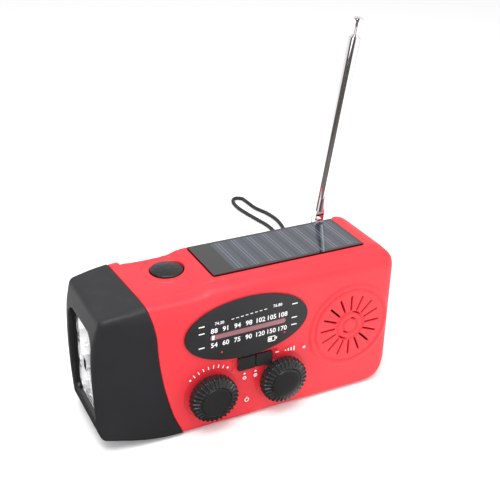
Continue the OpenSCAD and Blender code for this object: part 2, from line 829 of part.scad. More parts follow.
module battery() {
    color([0.25, 0.45, 0.7]) box([board_x0 + 0.5, board_y1 + 0.1, 5], [-8, board_y1 + 8.7, 39]);
}

module ferrite_rod() {
    color(CHARCOAL) x_rod(-31, 31, rod_y, rod_z, 3);
}

module ferrite_coil() {
    color(COPPER) difference() {
        x_rod(2, 20, rod_y, rod_z, 4);
        x_rod(1, 21, rod_y, rod_z, 3.05);
    }
}

// ---- Crank and generator ----

// An outline in plan, centred on the crank's axis in height
module slab(half) {
    xy(crank_z - half, crank_z + half) children();
}

module crank_hub() {
    color(CHARCOAL) difference() {
        union() {
            y_rod(crank_x, hub_y0, hub_y1, crank_z, arm_hinge + knuckle_r + 0.4);
            for (s = [-1, 1])
                translate([0, 0, s * (knuckle_w / 2 + ear_gap + ear_t / 2)]) slab(ear_t / 2) hull() {
                    translate([hinge_x, hinge_y]) circle(r = knuckle_r, $fn = 32);
                    translate([hinge_x - 2, hub_y1 - 0.5]) square([5.4, 0.5]);
                }
        }
        y_rod(crank_x, hub_y0 - 1, hub_y1 - 0.4, crank_z, crank_shaft_r + 0.02);
        z_rod(hinge_x, hinge_y, crank_z - 9, crank_z + 9, pin_r + 0.02);
    }
}

module crank_shaft() {
    color(STEEL) y_rod(crank_x, plate_y1 - plate_t - 0.4, hub_y1 - 0.5, crank_z, crank_shaft_r);
}

module crank_bush() {
    color(BRASS) difference() {
        y_rod(crank_x, dish_y - wall - 0.6, dish_y, crank_z, crank_shaft_r + 1.18);
        y_rod(crank_x, dish_y - wall - 1, dish_y + 1, crank_z, crank_shaft_r + run_fit);
    }
}

module crank_arm() {
    inner = grip_r + window_gap;
    end_x1 = crank_x + arm_reach;
    color(CHARCOAL) difference() {
        union() {
            slab(knuckle_w / 2) hull() {
                translate([hinge_x, hinge_y]) circle(r = knuckle_r, $fn = 32);
                translate([hinge_x + 4, hinge_y - 1.6]) square([0.5, 2.3]);
            }
            xz(arm_y0, arm_y1) hull() {
                for (s = [-1, 1])
                    translate([hinge_x + arm_start, crank_z + s * (arm_w / 2 - 2)]) circle(r = 2, $fn = 32);
                translate([end_x1 - arm_w / 2, crank_z]) circle(r = arm_w / 2);
            }
        }
        z_rod(hinge_x, hinge_y, crank_z - 9, crank_z + 9, pin_r + run_fit);
        box([grip_end_x - grip_l - 0.6, arm_y0 - 3, crank_z - inner],
            [end_x1 + 1, arm_y1 + 3, crank_z + inner]);
        z_rod(grip_hinge_x, grip_y, crank_z - 9, crank_z + 9, pin_r + 0.02);
    }
}

module arm_pin() {
    color(STEEL) z_rod(hinge_x, hinge_y, crank_z - knuckle_w / 2 - ear_gap - ear_t,
        crank_z + knuckle_w / 2 + ear_gap + ear_t, pin_r);
}

module grip_spindle() {
    color(STEEL) difference() {
        union() {
            slab(grip_r) hull() {
                translate([grip_hinge_x, grip_y]) circle(r = 2, $fn = 32);
                translate([grip_end_x + 0.3, grip_y - 1.4]) square([0.2, 2.8]);
            }
            x_rod(grip_end_x - grip_l + 0.6, grip_hinge_x - 1.6, grip_y, crank_z, 1.2);
            x_rod(grip_end_x - grip_l + 0.2, grip_end_x - grip_l + 1, grip_y, crank_z, 1.8);
        }
        z_rod(grip_hinge_x, grip_y, crank_z - 9, crank_z + 9, pin_r + run_fit);
    }
}

module grip_pin() {
    color(STEEL) z_rod(grip_hinge_x, grip_y, crank_z - arm_w / 2 + 0.9, crank_z + arm_w / 2 - 0.9, pin_r);
}

module crank_grip() {
    color(CHARCOAL) translate([grip_end_x, grip_y, crank_z]) rotate([0, -90, 0])
        rotate_extrude() polygon(concat([[1.2 + run_fit, 0], [grip_r - 0.6, 0], [grip_r - 0.2, 0.5]],
            [[grip_r - 0.35, grip_l * 0.3], [grip_r - 0.15, grip_l * 0.6], [grip_r, grip_l - 1.6]],
            [[grip_r - 0.5, grip_l - 0.3], [grip_r - 0.8, grip_l], [1.95, grip_l], [1.95, grip_l - 1.3]],
            [[1.2 + run_fit, grip_l - 1.3]]));
}

module drive_gear() {
    color(CREAM) y_gear(crank_x, crank_z, gear2_y - gear_t, gear2_y, drive_z, crank_shaft_r + 0.02);
}

module idler_gear() {
    color(CREAM) {
        y_gear(idler_x, crank_z, gear1_y - gear_t, gear1_y, idler_z, 1 + run_fit);
        y_gear(idler_x, crank_z, gear2_y - gear_t, gear2_y, pinion_z, 1 + run_fit, 180 / pinion_z);
        difference() {
            y_rod(idler_x, gear1_y - 0.1, gear2_y - gear_t + 0.1, crank_z, pinion_r - 1.25 * gear_m - 0.1);
            y_rod(idler_x, gear1_y - 1, gear2_y, crank_z, 1 + run_fit);
        }
    }
}

module idler_pin() {
    color(STEEL) y_rod(idler_x, plate_y1 - plate_t, dish_y - 0.85, crank_z, 0.995);
}

plate_posts = [[crank_x, crank_z + drive_r + 4.6], [crank_x, crank_z - drive_r - 4.6]];

module gear_plate() {
    color(STEEL) difference() {
        union() {
            xz(plate_y1 - plate_t, plate_y1) hull() {
                for (p = plate_posts) translate(p) circle(r = 2.6, $fn = 32);
                translate([dynamo_x, crank_z]) circle(r = dynamo_r - 1, $fn = 32);
            }
            for (p = plate_posts)
                y_rod(p[0], plate_y1 - 0.1, dish_y - wall - 0.05, p[1], 1.6);
        }
        y_rod(crank_x, 0, plate_y1 + 1, crank_z, crank_shaft_r + run_fit);
        y_rod(idler_x, 0, plate_y1 + 1, crank_z, 1);
        y_rod(dynamo_x, 0, plate_y1 + 1, crank_z, 1.5);
    }
}

dynamo_y1 = plate_y1 - plate_t;

module dynamo_housing() {
    color(STEEL) difference() {
        y_rod(dynamo_x, dynamo_y1 - dynamo_t, dynamo_y1, crank_z, dynamo_r);
        y_rod(dynamo_x, dynamo_y1 - dynamo_t + 0.8, dynamo_y1 - 0.8, crank_z, dynamo_r - 1.4);
        y_rod(dynamo_x, dynamo_y1 - 1, dynamo_y1 + 1, crank_z, 1 + run_fit);
    }
}

module dynamo_rotor() {
    color(COPPER) {
        y_rod(dynamo_x, dynamo_y1 - dynamo_t + 1.2, dynamo_y1 - 1.2, crank_z, dynamo_r - 2.4);
        y_rod(dynamo_x, dynamo_y1 - 1.3, gear1_y - gear_t + 0.5, crank_z, 1);
        y_gear(dynamo_x, crank_z, gear1_y - gear_t, gear1_y, pinion_z, 0.2, 180 / pinion_z);
    }
}

// ---- Antenna ----

// The antenna's frame: its pivot at the origin, +Z along the leaning mast
module mast_frame() {
    translate([mast_x, mast_y, mast_z]) rotate([0, antenna_lean, 0]) children();
}

module antenna_base() {
    color(CHROME) difference() {
        union() {
            z_rod(mast_x, mast_y, groove_z + 0.05, groove_z + 1, 2.6);
            z_rod(mast_x, mast_y, groove_z - 4.4, groove_z + 0.5, 1.5);
            for (s = [-1, 1])
                translate([0, mast_y + s * (tongue_t + cheek_t + 0.1) / 2, 0])
                    xz(-cheek_t / 2, cheek_t / 2) hull() {
                        translate([mast_x, mast_z]) circle(r = cheek_r, $fn = 32);
                        translate([mast_x - cheek_r, groove_z + 0.5]) square([2 * cheek_r, 0.5]);
                    }
        }
        y_rod(mast_x, mast_y - 4, mast_y + 4, mast_z, pin_r + 0.02);
    }
}

module antenna_pin() {
    color(STEEL) y_rod(mast_x, mast_y - 2.45, mast_y + 2.45, mast_z, pin_r);
}

// One tube of the mast; n counts from 0 at the widest
function tube_or(n) = tube_r - n * tube_step;
function tube_z0(n) = tube_root + 3 + 1.8 * n;
function tube_z1(n) = tube_l + 0.4 * n;

module mast_tube(n) {
    difference() {
        translate([0, 0, n == 0 ? tube_root - 1 : tube_z0(n)])
            cylinder(r = tube_or(n), h = tube_z1(n) - (n == 0 ? tube_root - 1 : tube_z0(n)));
        translate([0, 0, tube_z0(n) + 1.5])
            cylinder(r = tube_or(n + 1) + run_fit, h = tube_l);
    }
}

module antenna_tube_1() {
    color(CHROME) mast_frame() {
        mast_tube(0);
        difference() {
            xz(-tongue_t / 2, tongue_t / 2) hull() {
                circle(r = 2, $fn = 32);
                translate([-1.9, tube_root - 0.9]) square([3.8, 0.4]);
            }
            y_rod(0, -4, 4, 0, pin_r + run_fit);
        }
    }
}

module antenna_tube_2() {
    color(CHROME) mast_frame() mast_tube(1);
}

module antenna_tube_3() {
    color(CHROME) mast_frame() mast_tube(2);
}

module antenna_tube_4() {
    color(CHROME) mast_frame() mast_tube(3);
}

module antenna_tip() {
    rod_top = tube_z1(3) + tip_rod_l;
    color(CHROME) mast_frame() {
        translate([0, 0, tube_z0(4)]) cylinder(r = tube_or(4), h = rod_top + 0.1 - tube_z0(4));
        rotate_extrude() polygon([[0, rod_top], [tip_cap_r - 0.3, rod_top], [tip_cap_r, rod_top + 0.4],
            [tip_cap_r, rod_top + tip_cap_l - 0.9], [tip_cap_r - 0.8, rod_top + tip_cap_l],
            [0, rod_top + tip_cap_l]]);
    }
}

// ---- Sockets, screws and strap ----

port_y1 = back_y - port_well_d - 0.1;

module usb_socket() {
    z = usb_z;
    color(STEEL) {
        difference() {
            box([port_x - 6.6, port_y1 - 11.4, z - 2.85], [port_x + 6.6, port_y1, z + 2.85]);
            box([port_x - 6.2, port_y1 - 10.4, z - 2.45], [port_x + 6.2, port_y1 + 1, z + 2.45]);
        }
        box([port_x - 5.6, port_y1 - 10.5, z + 0.2], [port_x + 5.6, port_y1 - 2.6, z + 1.6]);
    }
}

module charge_socket() {
    z = charge_z;
    color(STEEL) {
        difference() {
            box([port_x - 3.9, port_y1 - 5.4, z - 1.6], [port_x + 3.9, port_y1, z + 1.6]);
            box([port_x - 3.6, port_y1 - 4.8, z - 1.3], [port_x + 3.6, port_y1 + 1, z + 1.3]);
        }
        box([port_x - 2.4, port_y1 - 4.9, z - 0.3], [port_x + 2.4, port_y1 - 1, z + 0.3]);
    }
}

module socket_board() {
    color(BOARD) box([port_x - 8.5, port_y1 - 13, port_z - 1.75],
        [port_x + 8.5, port_y1 - 1.7, port_z - 0.7]);
}

module port_cover() {
    y0 = back_y - port_well_d + 0.25;
    color(BLACK) {
        xz(y0, back_y - 0.1) round_rect([port_x, port_z], cover_w, cover_h, 1);
        xz(y0 - 1.2, y0 + 0.1) round_rect([port_x, port_z + 2.1], 11.6, 3.8, 0.6);
        xz(back_y - 0.2, back_y + 0.6) round_rect([port_x, port_z + cover_h / 2 - 1.4], 6, 1.2, 0.5);
    }
}

module case_screws() {
    color(STEEL) for (p = screw_posts) {
        difference() {
            y_rod(p[0], back_y - 2.2, back_y - 0.8, p[1], screw_head_r);
            translate([p[0], 0, p[1]]) xz(back_y - 1.7, back_y) {
                square([2.6, 0.6], center = true);
                square([0.6, 2.6], center = true);
            }
        }
        y_rod(p[0], part_y - 8, back_y - 2.1, p[1], screw_r - 0.17);
    }
}

strap_points = [[51.9, 22.85, 32], [54.6, 23.2, 31.7], [57, 25.4, 29.6], [58.4, 28.4, 25], [59.2, 31.4, 18],
    [60, 34.6, 10], [61.2, 39, 4], [63, 46, 1.6], [65.6, 56, 1.1], [69, 68, 1.1], [73.4, 82, 1.1],
    [78.4, 96, 1.1], [84, 110, 1.1], [88.6, 122, 1.1], [90.4, 133, 1.1], [89.4, 143, 1.1],
    [86.6, 152, 1.1], [86, 161, 1.1], [85.4, 167, 1.1], [82, 169, 1.1], [78.8, 165.6, 1.1],
    [77.6, 158, 1.1], [78.4, 149, 1.1], [80.4, 138, 1.1], [82.2, 127, 1.1], [81, 115, 1.1],
    [75.6, 102, 1.1], [69.4, 88, 1.1], [63.6, 74, 1.1], [58.6, 60, 1.1], [55, 48, 1.8],
    [52.6, 39.6, 5.4], [50.2, 34, 12], [48, 30.4, 20], [46.6, 27.2, 26.6], [47.4, 24, 30.8],
    [49.6, 22.9, 32], [51.7, 22.85, 32]];

// A point of the smooth curve through the strap's points, t counted in points
function strap_at(t) = let (
    n = len(strap_points),
    i = min(floor(t), n - 2),
    u = t - i,
    a = strap_points[max(i - 1, 0)],
    b = strap_points[i],
    c = strap_points[i + 1],
    d = strap_points[min(i + 2, n - 1)])
    0.5 * (2 * b + (c - a) * u + (2 * a - 5 * b + 4 * c - d) * u * u + (3 * b - 3 * c + d - a) * u * u * u);

module wrist_strap() {
    color(BLACK) wire([for (t = [0:0.5:len(strap_points) - 1]) strap_at(t)], strap_r, 8);
}

front_shell();
rear_cover();
head_bezel();
lens_frame();
lens();
reflector();
lamp_diodes();
lamp_board();
solar_panel();
light_button();
button_spring();
button_switch();
button_bracket();
dial_panel();
dial_window();
dial_pointer();
tuning_knob();
tuning_shaft();
tuning_capacitor();
volume_knob();
volume_shaft();
volume_pot();
band_slider();
band_switch();
speaker_basket();
speaker_cone();
speaker_magnet();
main_board();
board_parts();
battery();
ferrite_rod();
ferrite_coil();
crank_hub();
crank_shaft();
crank_bush();
crank_arm();
arm_pin();
grip_spindle();
grip_pin();
crank_grip();
drive_gear();
idler_gear();
idler_pin();
gear_plate();
dynamo_housing();
dynamo_rotor();
antenna_base();
antenna_pin();
antenna_tube_1();
antenna_tube_2();
antenna_tube_3();
antenna_tube_4();
antenna_tip();
usb_socket();
charge_socket();
socket_board();
port_cover();
case_screws();
wrist_strap();
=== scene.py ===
"""Looks of a hand-cranked emergency radio, built round its packed construction."""
import logging
import math
from dataclasses import dataclass, field
from enum import Enum
from typing import Callable, Sequence

import bpy
import numpy as np
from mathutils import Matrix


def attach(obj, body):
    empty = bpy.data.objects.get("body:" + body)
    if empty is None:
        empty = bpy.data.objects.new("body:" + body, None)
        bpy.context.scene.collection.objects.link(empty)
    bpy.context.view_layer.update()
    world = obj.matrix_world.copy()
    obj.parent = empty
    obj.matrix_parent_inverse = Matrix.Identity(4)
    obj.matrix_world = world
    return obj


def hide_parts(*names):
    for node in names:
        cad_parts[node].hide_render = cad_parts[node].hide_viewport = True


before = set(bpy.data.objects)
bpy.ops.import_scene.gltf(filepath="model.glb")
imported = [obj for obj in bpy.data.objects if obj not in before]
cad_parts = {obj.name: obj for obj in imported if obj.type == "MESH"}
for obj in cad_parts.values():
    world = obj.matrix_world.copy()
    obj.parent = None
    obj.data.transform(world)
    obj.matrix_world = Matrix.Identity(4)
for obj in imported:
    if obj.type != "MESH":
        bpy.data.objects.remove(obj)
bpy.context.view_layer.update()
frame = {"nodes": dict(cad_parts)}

import openvdb
from mathutils import Matrix, Vector

LOG = logging.getLogger("radio")
MM = 0.001
FAR = 9.0
Array = np.ndarray
Point = tuple[float, float, float]
Pair = tuple[float, float]
Four = tuple[float, float, float, float]
Outline = list[Pair]
Piece = bpy.types.Object
Socket = bpy.types.NodeSocket
Group = bpy.types.NodeTree

# ---- Sizes that more than one class uses, in millimetres ----


@dataclass(frozen=True)
class Casing:
    """The outer form of the casing, shared by the shells and what sits in them."""

    length: float = 120.8
    depth: float = 40.5
    height: float = 60.5
    wall: float = 2.0
    seam_y: float = 15.4
    seam_turn: float = 3.0
    seam_gap: float = 0.06
    deck_z: float = 58.3
    saddle: float = 0.55
    plateau_x: float = -16.0
    shoulder_r: float = 7.5
    head_taper: float = 2.2
    head_rise: float = 5.2
    head_fall: float = 2.4
    head_end: float = 1.4
    head_bulge: float = 1.6
    back_r: float = 6.0

    @property
    def end_x(self) -> float:
        """Half of the casing's length."""
        return self.length / 2

    @property
    def face_y(self) -> float:
        """Half of the casing's depth."""
        return self.depth / 2


CASING = Casing()

# ---- Signed distances on a grid ----


def arc(centre: Pair, radius: float, start: float, end: float, steps: int = 16) -> Outline:
    """Gives the points of an arc from a start to an end angle, in degrees."""
    angles = [math.radians(start + (end - start) * i / steps) for i in range(steps + 1)]
    return [(centre[0] + radius * math.cos(a), centre[1] + radius * math.sin(a)) for a in angles]


def outline_distance(points: Outline, u: Array, v: Array) -> Array:
    """Gives the signed distance to a closed outline.

    Args:
        points: The outline's corners.
        u: First coordinates, broadcast against v.
        v: Second coordinates.

    Returns:
        Distances, negative inside.
    """
    shape = np.broadcast(u, v).shape
    nearest = np.full(shape, 1e9, np.float32)
    inside = np.zeros(shape, bool)
    for (au, av), (bu, bv) in zip(points, points[1:] + points[:1]):
        eu, ev = bu - au, bv - av
        t = np.clip(((u - au) * eu + (v - av) * ev) / (eu * eu + ev * ev), 0, 1)
        nearest = np.minimum(nearest, (u - au - t * eu) ** 2 + (v - av - t * ev) ** 2)
        if bv != av:
            inside ^= ((av > v) != (bv > v)) & (u < eu * (v - av) / ev + au)
    return np.where(inside, -1, 1) * np.sqrt(nearest)


def softened(table: Array, reach: int) -> Array:
    """Rounds the corners of a table of distances by blurring it along both of its axes.

    Args:
        table: Distances on a flat grid.
        reach: Reach of the blur, in cells.

    Returns:
        The blurred table.
    """
    offsets = np.arange(-2 * reach, 2 * reach + 1)
    weights = np.exp(-0.5 * (offsets / reach) ** 2)
    weights /= weights.sum()
    for axis in (0, 1):
        pad = [(0, 0), (0, 0)]
        pad[axis] = (2 * reach, 2 * reach)
        wide = np.pad(table, pad, mode="reflect", reflect_type="odd")
        size = table.shape[axis]
        table = sum(w * np.take(wide, range(i, i + size), axis) for i, w in enumerate(weights))
    return table.astype(np.float32)


def both(radius: float, *distances: Array) -> Array:
    """Gives what lies in every one of the solids, its edges rounded.

    Args:
        radius: Radius of the rounded edges.
        *distances: Signed distances of the solids.

    Returns:
        The signed distance of their common part.
    """
    deepest = distances[0]
    for d in distances[1:]:
        deepest = np.maximum(deepest, d)
    if radius <= 0:
        return deepest
    square = sum(np.maximum(d + radius, 0) ** 2 for d in distances)
    return np.minimum(deepest, -radius) + np.sqrt(square)


def either(radius: float, *distances: Array) -> Array:
    """Gives what lies in at least one of the solids, its inner corners rounded."""
    return -both(radius, *[-d for d in distances])


def disc(u: Array, v: Array, centre: Pair, radius: float) -> Array:
    """Gives the signed distance to a disc in the plane of u and v."""
    return np.hypot(u - centre[0], v - centre[1]) - radius


def plate(u: Array, v: Array, centre: Pair, size: Pair, r: float) -> Array:
    """Gives the signed distance to a rectangle about a centre, its corners rounded by r."""
    du, dv = (np.abs(w - c) - wide / 2 + r for w, c, wide in zip((u, v), centre, size))
    return np.hypot(np.maximum(du, 0), np.maximum(dv, 0)) + np.minimum(np.maximum(du, dv), 0) - r


def oval(u: Array, v: Array, centre: Pair, a: float, b: float) -> Array:
    """Gives a close signed distance to an ellipse of half axes a and b about a centre."""
    k, slope = (np.hypot((u - centre[0]) / a ** n, (v - centre[1]) / b ** n) for n in (1, 2))
    return k * (k - 1) / np.maximum(slope, 1e-6)


def stick(u: Array, v: Array, a: Pair, b: Pair, r: float) -> Array:
    """Gives the signed distance to a straight slot with round ends.

    Args:
        u: First coordinates.
        v: Second coordinates.
        a: Centre of one end.
        b: Centre of the other end.
        r: Half of the slot's width.

    Returns:
        Distances, negative inside.
    """
    eu, ev = b[0] - a[0], b[1] - a[1]
    t = np.clip(((u - a[0]) * eu + (v - a[1]) * ev) / (eu * eu + ev * ev), 0, 1)
    return np.hypot(u - a[0] - t * eu, v - a[1] - t * ev) - r


def slab(v: Array, low: float, high: float) -> Array:
    """Gives the signed distance to what lies between low and high."""
    return np.abs(v - (low + high) / 2) - (high - low) / 2


class Mould:
    """A solid held as signed distances on a grid, in millimetres, negative inside it."""

    def __init__(self, low: Point, high: Point, step: float) -> None:
        """Lays out an empty grid.

        Args:
            low: Lowest corner.
            high: Highest corner.
            step: Size of a cell.
        """
        self.step = step * 1.0
        self.low = np.array(low, np.float32)
        counts = [int(math.ceil((h - l) / self.step)) + 1 for l, h in zip(low, high)]
        axes = [l + self.step * np.arange(n, dtype=np.float32) for l, n in zip(low, counts)]
        self.x = axes[0][:, None, None]
        self.y = axes[1][None, :, None]
        self.z = axes[2][None, None, :]
        self.d = np.full(counts, FAR, np.float32)

    def change(self, join: Callable, shape: Callable, low: Sequence, high: Sequence) -> None:
        """Joins a shape to the solid within a window.

        Args:
            join: Takes the solid's and the shape's distances, and gives the new ones.
            shape: Gives the shape's distances at x, y and z.
            low: Lowest corner of the window.
            high: Highest corner of the window.
        """
        ends = [((a - o) / self.step - 1, (b - o) / self.step + 2) for a, b, o in zip(low, high, self.low)]
        sx, sy, sz = (slice(max(int(a), 0), min(max(int(b), 1), n)) for (a, b), n in zip(ends, self.d.shape))
        there = shape(self.x[sx], self.y[:, sy], self.z[:, :, sz])
        self.d[sx, sy, sz] = join(self.d[sx, sy, sz], there)

    def add(self, shape: Callable, low: Point, high: Point, blend: float) -> None:
        """Adds a shape to the solid, blended where they meet."""
        self.change(lambda a, b: either(blend, a, b), shape, low, high)

    def bore(self, axis: int, flat: Callable, at: Pair, reach: Pair,
             run: Pair, edge: float, blind: bool = False, draft: float = 0.0) -> None:
        """Takes out a hole that runs straight along an axis, with a rounded rim.

        Args:
            axis: The axis, 0 to 2.
            flat: Gives the distances to the hole's outline at the other two coordinates.
            at: A point in the hole, in those two.
            reach: How far to look from there.
            run: Where it starts and where it ends.
            edge: Radius of its rim.
            blind: Whether it has a bottom.
            draft: How much it narrows for each millimetre inwards.
        """
        start, end = run
        way = 1 if end > start else -1

        def hole(*where: Array) -> Array:
            """Gives the distances to the hole.

            Args:
                *where: The places' x, y and z.

            Returns:
                Distances, negative in the hole.
            """
            deep = way * (where[axis] - start)
            there = flat(*where[:axis], *where[axis + 1:]) + draft * deep
            return np.maximum(there, deep - abs(end - start)) if blind else there

        low, high = ([a + s * r for a, r in zip(at, reach)] for s in (-1, 1))
        low.insert(axis, min(run) - 1)
        high.insert(axis, max(run) + 1)
        self.change(lambda a, b: both(edge, a, -b), hole, low, high)

    def sample(self, points: Array) -> tuple[Array, Array]:
        """Reads the distance and its slope at points.

        Args:
            points: Points in millimetres, one a row.

        Returns:
            The distances, and the unit slopes.
        """
        def read(p: Array) -> Array:
            """Gives the distance at each of the points.

            Args:
                p: Points in millimetres, one a row.

            Returns:
                The distances.
            """
            cell = (p - self.low) / self.step
            cell = np.clip(cell, 0, np.array(self.d.shape) - 1.001)
            base = cell.astype(int)
            part = cell - base
            total = np.zeros(len(p))
            for corner in range(8):
                bit = np.array([corner >> 2 & 1, corner >> 1 & 1, corner & 1])
                weight = np.prod(np.where(bit, part, 1 - part), axis=1)
                total += weight * self.d[tuple((base + bit).T)]
            return total

        reach = 0.75 * self.step
        slope = np.stack([read(points + reach * e) - read(points - reach * e) for e in np.eye(3)], 1)
        slope /= np.maximum(np.linalg.norm(slope, axis=1, keepdims=True), 1e-9)
        return read(points), slope

    def mesh(self, name: str, keep: float) -> Piece:
        """Turns the solid into a smooth mesh in metres.

        Args:
            name: The piece's name.
            keep: Share of the faces that stays after thinning out.

        Returns:
            The piece.
        """
        reach = 3 * self.step
        grid = openvdb.FloatGrid(reach)
        grid.copyFromArray(np.clip(self.d, -reach, reach))
        points, _, quads = grid.convertToPolygons(isovalue=0.0, adaptivity=0.0)
        data = bpy.data.meshes.new(name)
        data.from_pydata(points * self.step + self.low, [], quads.tolist())
        piece = bpy.data.objects.new(name, data)
        bpy.context.scene.collection.objects.link(piece)
        thin = piece.modifiers.new("thin", "DECIMATE")
        thin.ratio = keep
        graph = bpy.context.evaluated_depsgraph_get()
        piece.data = bpy.data.meshes.new_from_object(piece.evaluated_get(graph))
        piece.modifiers.clear()
        bpy.data.meshes.remove(data)
        data = piece.data
        data.name = name
        data.shade_smooth()
        at = np.zeros(3 * len(data.vertices), np.float32)
        data.vertices.foreach_get("co", at)
        at = at.reshape(-1, 3)
        for _ in range(2):
            off, slope = self.sample(at)
            at = at - np.clip(off, -0.3 * self.step, 0.3 * self.step)[:, None] * slope
        _, slope = self.sample(at)
        data.vertices.foreach_set("co", (at * MM).astype(np.float32).ravel())
        data.normals_split_custom_set_from_vertices(slope.tolist())
        data.update()
        return piece

# ---- Node trees ----


@dataclass
class Tree:
    """Adds and joins the nodes of one node tree."""

    tree: Group

    def add(self, kind: str, inputs: dict | None = None, **settings: object) -> bpy.types.Node:
        """Adds a node.

        Args:
            kind: The node's type, without its leading ShaderNode.
            inputs: Values or sockets for its inputs, by name or number.
            **settings: The node's own settings.

        Returns:
            The node.
        """
        node = self.tree.nodes.new("ShaderNode" + kind)
        for name, value in settings.items():
            setattr(node, name, value)
        for name, value in (inputs or {}).items():
            if isinstance(value, Socket):
                self.tree.links.new(value, node.inputs[name])
            else:
                node.inputs[name].default_value = value
        return node

    def sum(self, operation: str, *values: object) -> Socket:
        """Adds a sum on numbers or sockets, and gives its result."""
        return self.add("Math", dict(enumerate(values)), operation=operation).outputs[0]

    def times(self, *values: object) -> Socket:
        """Adds a product of two numbers or sockets, and gives its result."""
        return self.sum("MULTIPLY", *values)

    def spread(self, value: object, low: float, high: float) -> Socket:
        """Maps a value from low to high smoothly onto 0 to 1."""
        ends = {"Value": value, "From Min": low, "From Max": high}
        return self.add("MapRange", ends, interpolation_type="SMOOTHSTEP").outputs[0]

    def noise(self, scale: object, detail: float) -> Socket:
        """Adds noise over the piece's own coordinates, and gives its strength."""
        at = self.add("TexCoord").outputs["Object"]
        return self.add("TexNoise", {"Vector": at, "Scale": scale, "Detail": detail}).outputs["Fac"]

    def blend(self, share: object, first: object, second: object) -> Socket:
        """Mixes two colours, and gives the result."""
        node = self.add("Mix", {0: share, 6: first, 7: second}, data_type="RGBA")
        return node.outputs[2]


def effect(name: str, sockets: dict[str, str | float]) -> tuple[Tree, bpy.types.Node, bpy.types.Node]:
    """Starts a shared node group.

    Args:
        name: The group's name.
        sockets: For each input its default, and for each output "float" or "color".

    Returns:
        The group's tree, its input node and its output node.
    """
    group = bpy.data.node_groups.new(name, "ShaderNodeTree")
    kinds = {"float": "NodeSocketFloat", "color": "NodeSocketColor"}
    for label, value in sockets.items():
        if isinstance(value, str):
            group.interface.new_socket(label, in_out="OUTPUT", socket_type=kinds[value])
        else:
            made = group.interface.new_socket(label, in_out="INPUT", socket_type=kinds["float"])
            made.default_value = value
    return Tree(group), group.nodes.new("NodeGroupInput"), group.nodes.new("NodeGroupOutput")


def fine_grain() -> Group:
    """Makes the group for moulded grain: its height, and broad tone changes.

    Returns:
        The group.
    """
    tree, given, out = effect("fine_grain", {"Scale": 900.0, "Height": "float", "Tone": "float"})
    tree.tree.links.new(tree.noise(given.outputs["Scale"], 2.0), out.inputs["Height"])
    tree.tree.links.new(tree.spread(tree.noise(34.0, 3.0), 0.3, 0.7), out.inputs["Tone"])
    return tree.tree


def painted_edge_highlight() -> Group:
    """Makes the group for a painted edge highlight: a mask that is 1 on a convex edge, broken up by noise.

    Returns:
        The group.
    """
    tree, given, out = effect("painted_edge_highlight", {"Reach": 0.0006, "Mask": "float"})
    pair = {0: tree.add("Bevel", {"Radius": given.outputs["Reach"]}, samples=4).outputs[0],
            1: tree.add("NewGeometry").outputs["Normal"]}
    turn = tree.add("VectorMath", pair, operation="DOT_PRODUCT").outputs["Value"]
    mask = tree.times(tree.spread(turn, 0.985, 0.9), tree.spread(tree.noise(420.0, 3.0), 0.42, 0.62))
    tree.tree.links.new(mask, out.inputs["Mask"])
    return tree.tree


def dust() -> Group:
    """Makes the group for dust: a mask that is strongest on faces that look up.

    Returns:
        The group.
    """
    tree, given, out = effect("dust", {"Amount": 0.3, "Mask": "float"})
    up = tree.add("SeparateXYZ", {0: tree.add("NewGeometry").outputs["Normal"]}).outputs["Z"]
    mask = tree.times(tree.spread(up, 0.1, 0.95), tree.spread(tree.noise(160.0, 5.0), 0.45, 0.75))
    tree.tree.links.new(tree.times(mask, given.outputs["Amount"]), out.inputs["Mask"])
    return tree.tree


def cell_strips() -> Group:
    """Makes the group for the solar panel: the cells' colour and a mask of the printed lines.

    Returns:
        The group.
    """
    tree, given, out = effect("cell_strips", {"Start": -0.0055, "Pitch": 0.0068, "Colour": "color",
                                              "Line": "float"})
    parts = tree.add("SeparateXYZ", {0: tree.add("TexCoord").outputs["Object"]}).outputs
    along = tree.sum("DIVIDE", tree.sum("SUBTRACT", parts["X"], given.outputs["Start"]),
                     given.outputs["Pitch"])
    cell = tree.sum("FRACT", along)
    on = tree.times(tree.spread(along, -0.02, 0.02), tree.spread(along, 8.02, 7.98))
    on = tree.times(on, tree.times(tree.spread(parts["Y"], -0.0093, -0.0090),
                                   tree.spread(parts["Y"], 0.0131, 0.0128)))

    def from_line(at: object, place: float) -> Socket:
        """Gives how far a value is from a place."""
        return tree.sum("ABSOLUTE", tree.sum("SUBTRACT", at, place))

    gap = tree.spread(from_line(cell, 0.93), 0.07, 0.045)
    line = tree.times(tree.spread(from_line(from_line(cell, 0.4), 0.09), 0.026, 0.012), on)
    cells = tree.blend(gap, (0.038, 0.044, 0.062, 1.0), (0.02, 0.021, 0.028, 1.0))
    cells = tree.blend(line, cells, (0.15, 0.16, 0.19, 1.0))
    tree.tree.links.new(tree.blend(on, (0.006, 0.006, 0.008, 1.0), cells), out.inputs["Colour"])
    tree.tree.links.new(line, out.inputs["Line"])
    return tree.tree


# ---- Finishes ----


class Pattern(Enum):
    """What is drawn or pressed into a surface."""

    GRAIN = "moulded grain"
    BRUSHED = "brushed lines"
    BRAID = "woven cord"
    CELLS = "solar cells"
    MOTTLED = "coarse mottled skin"
    WOUND = "wound wire"


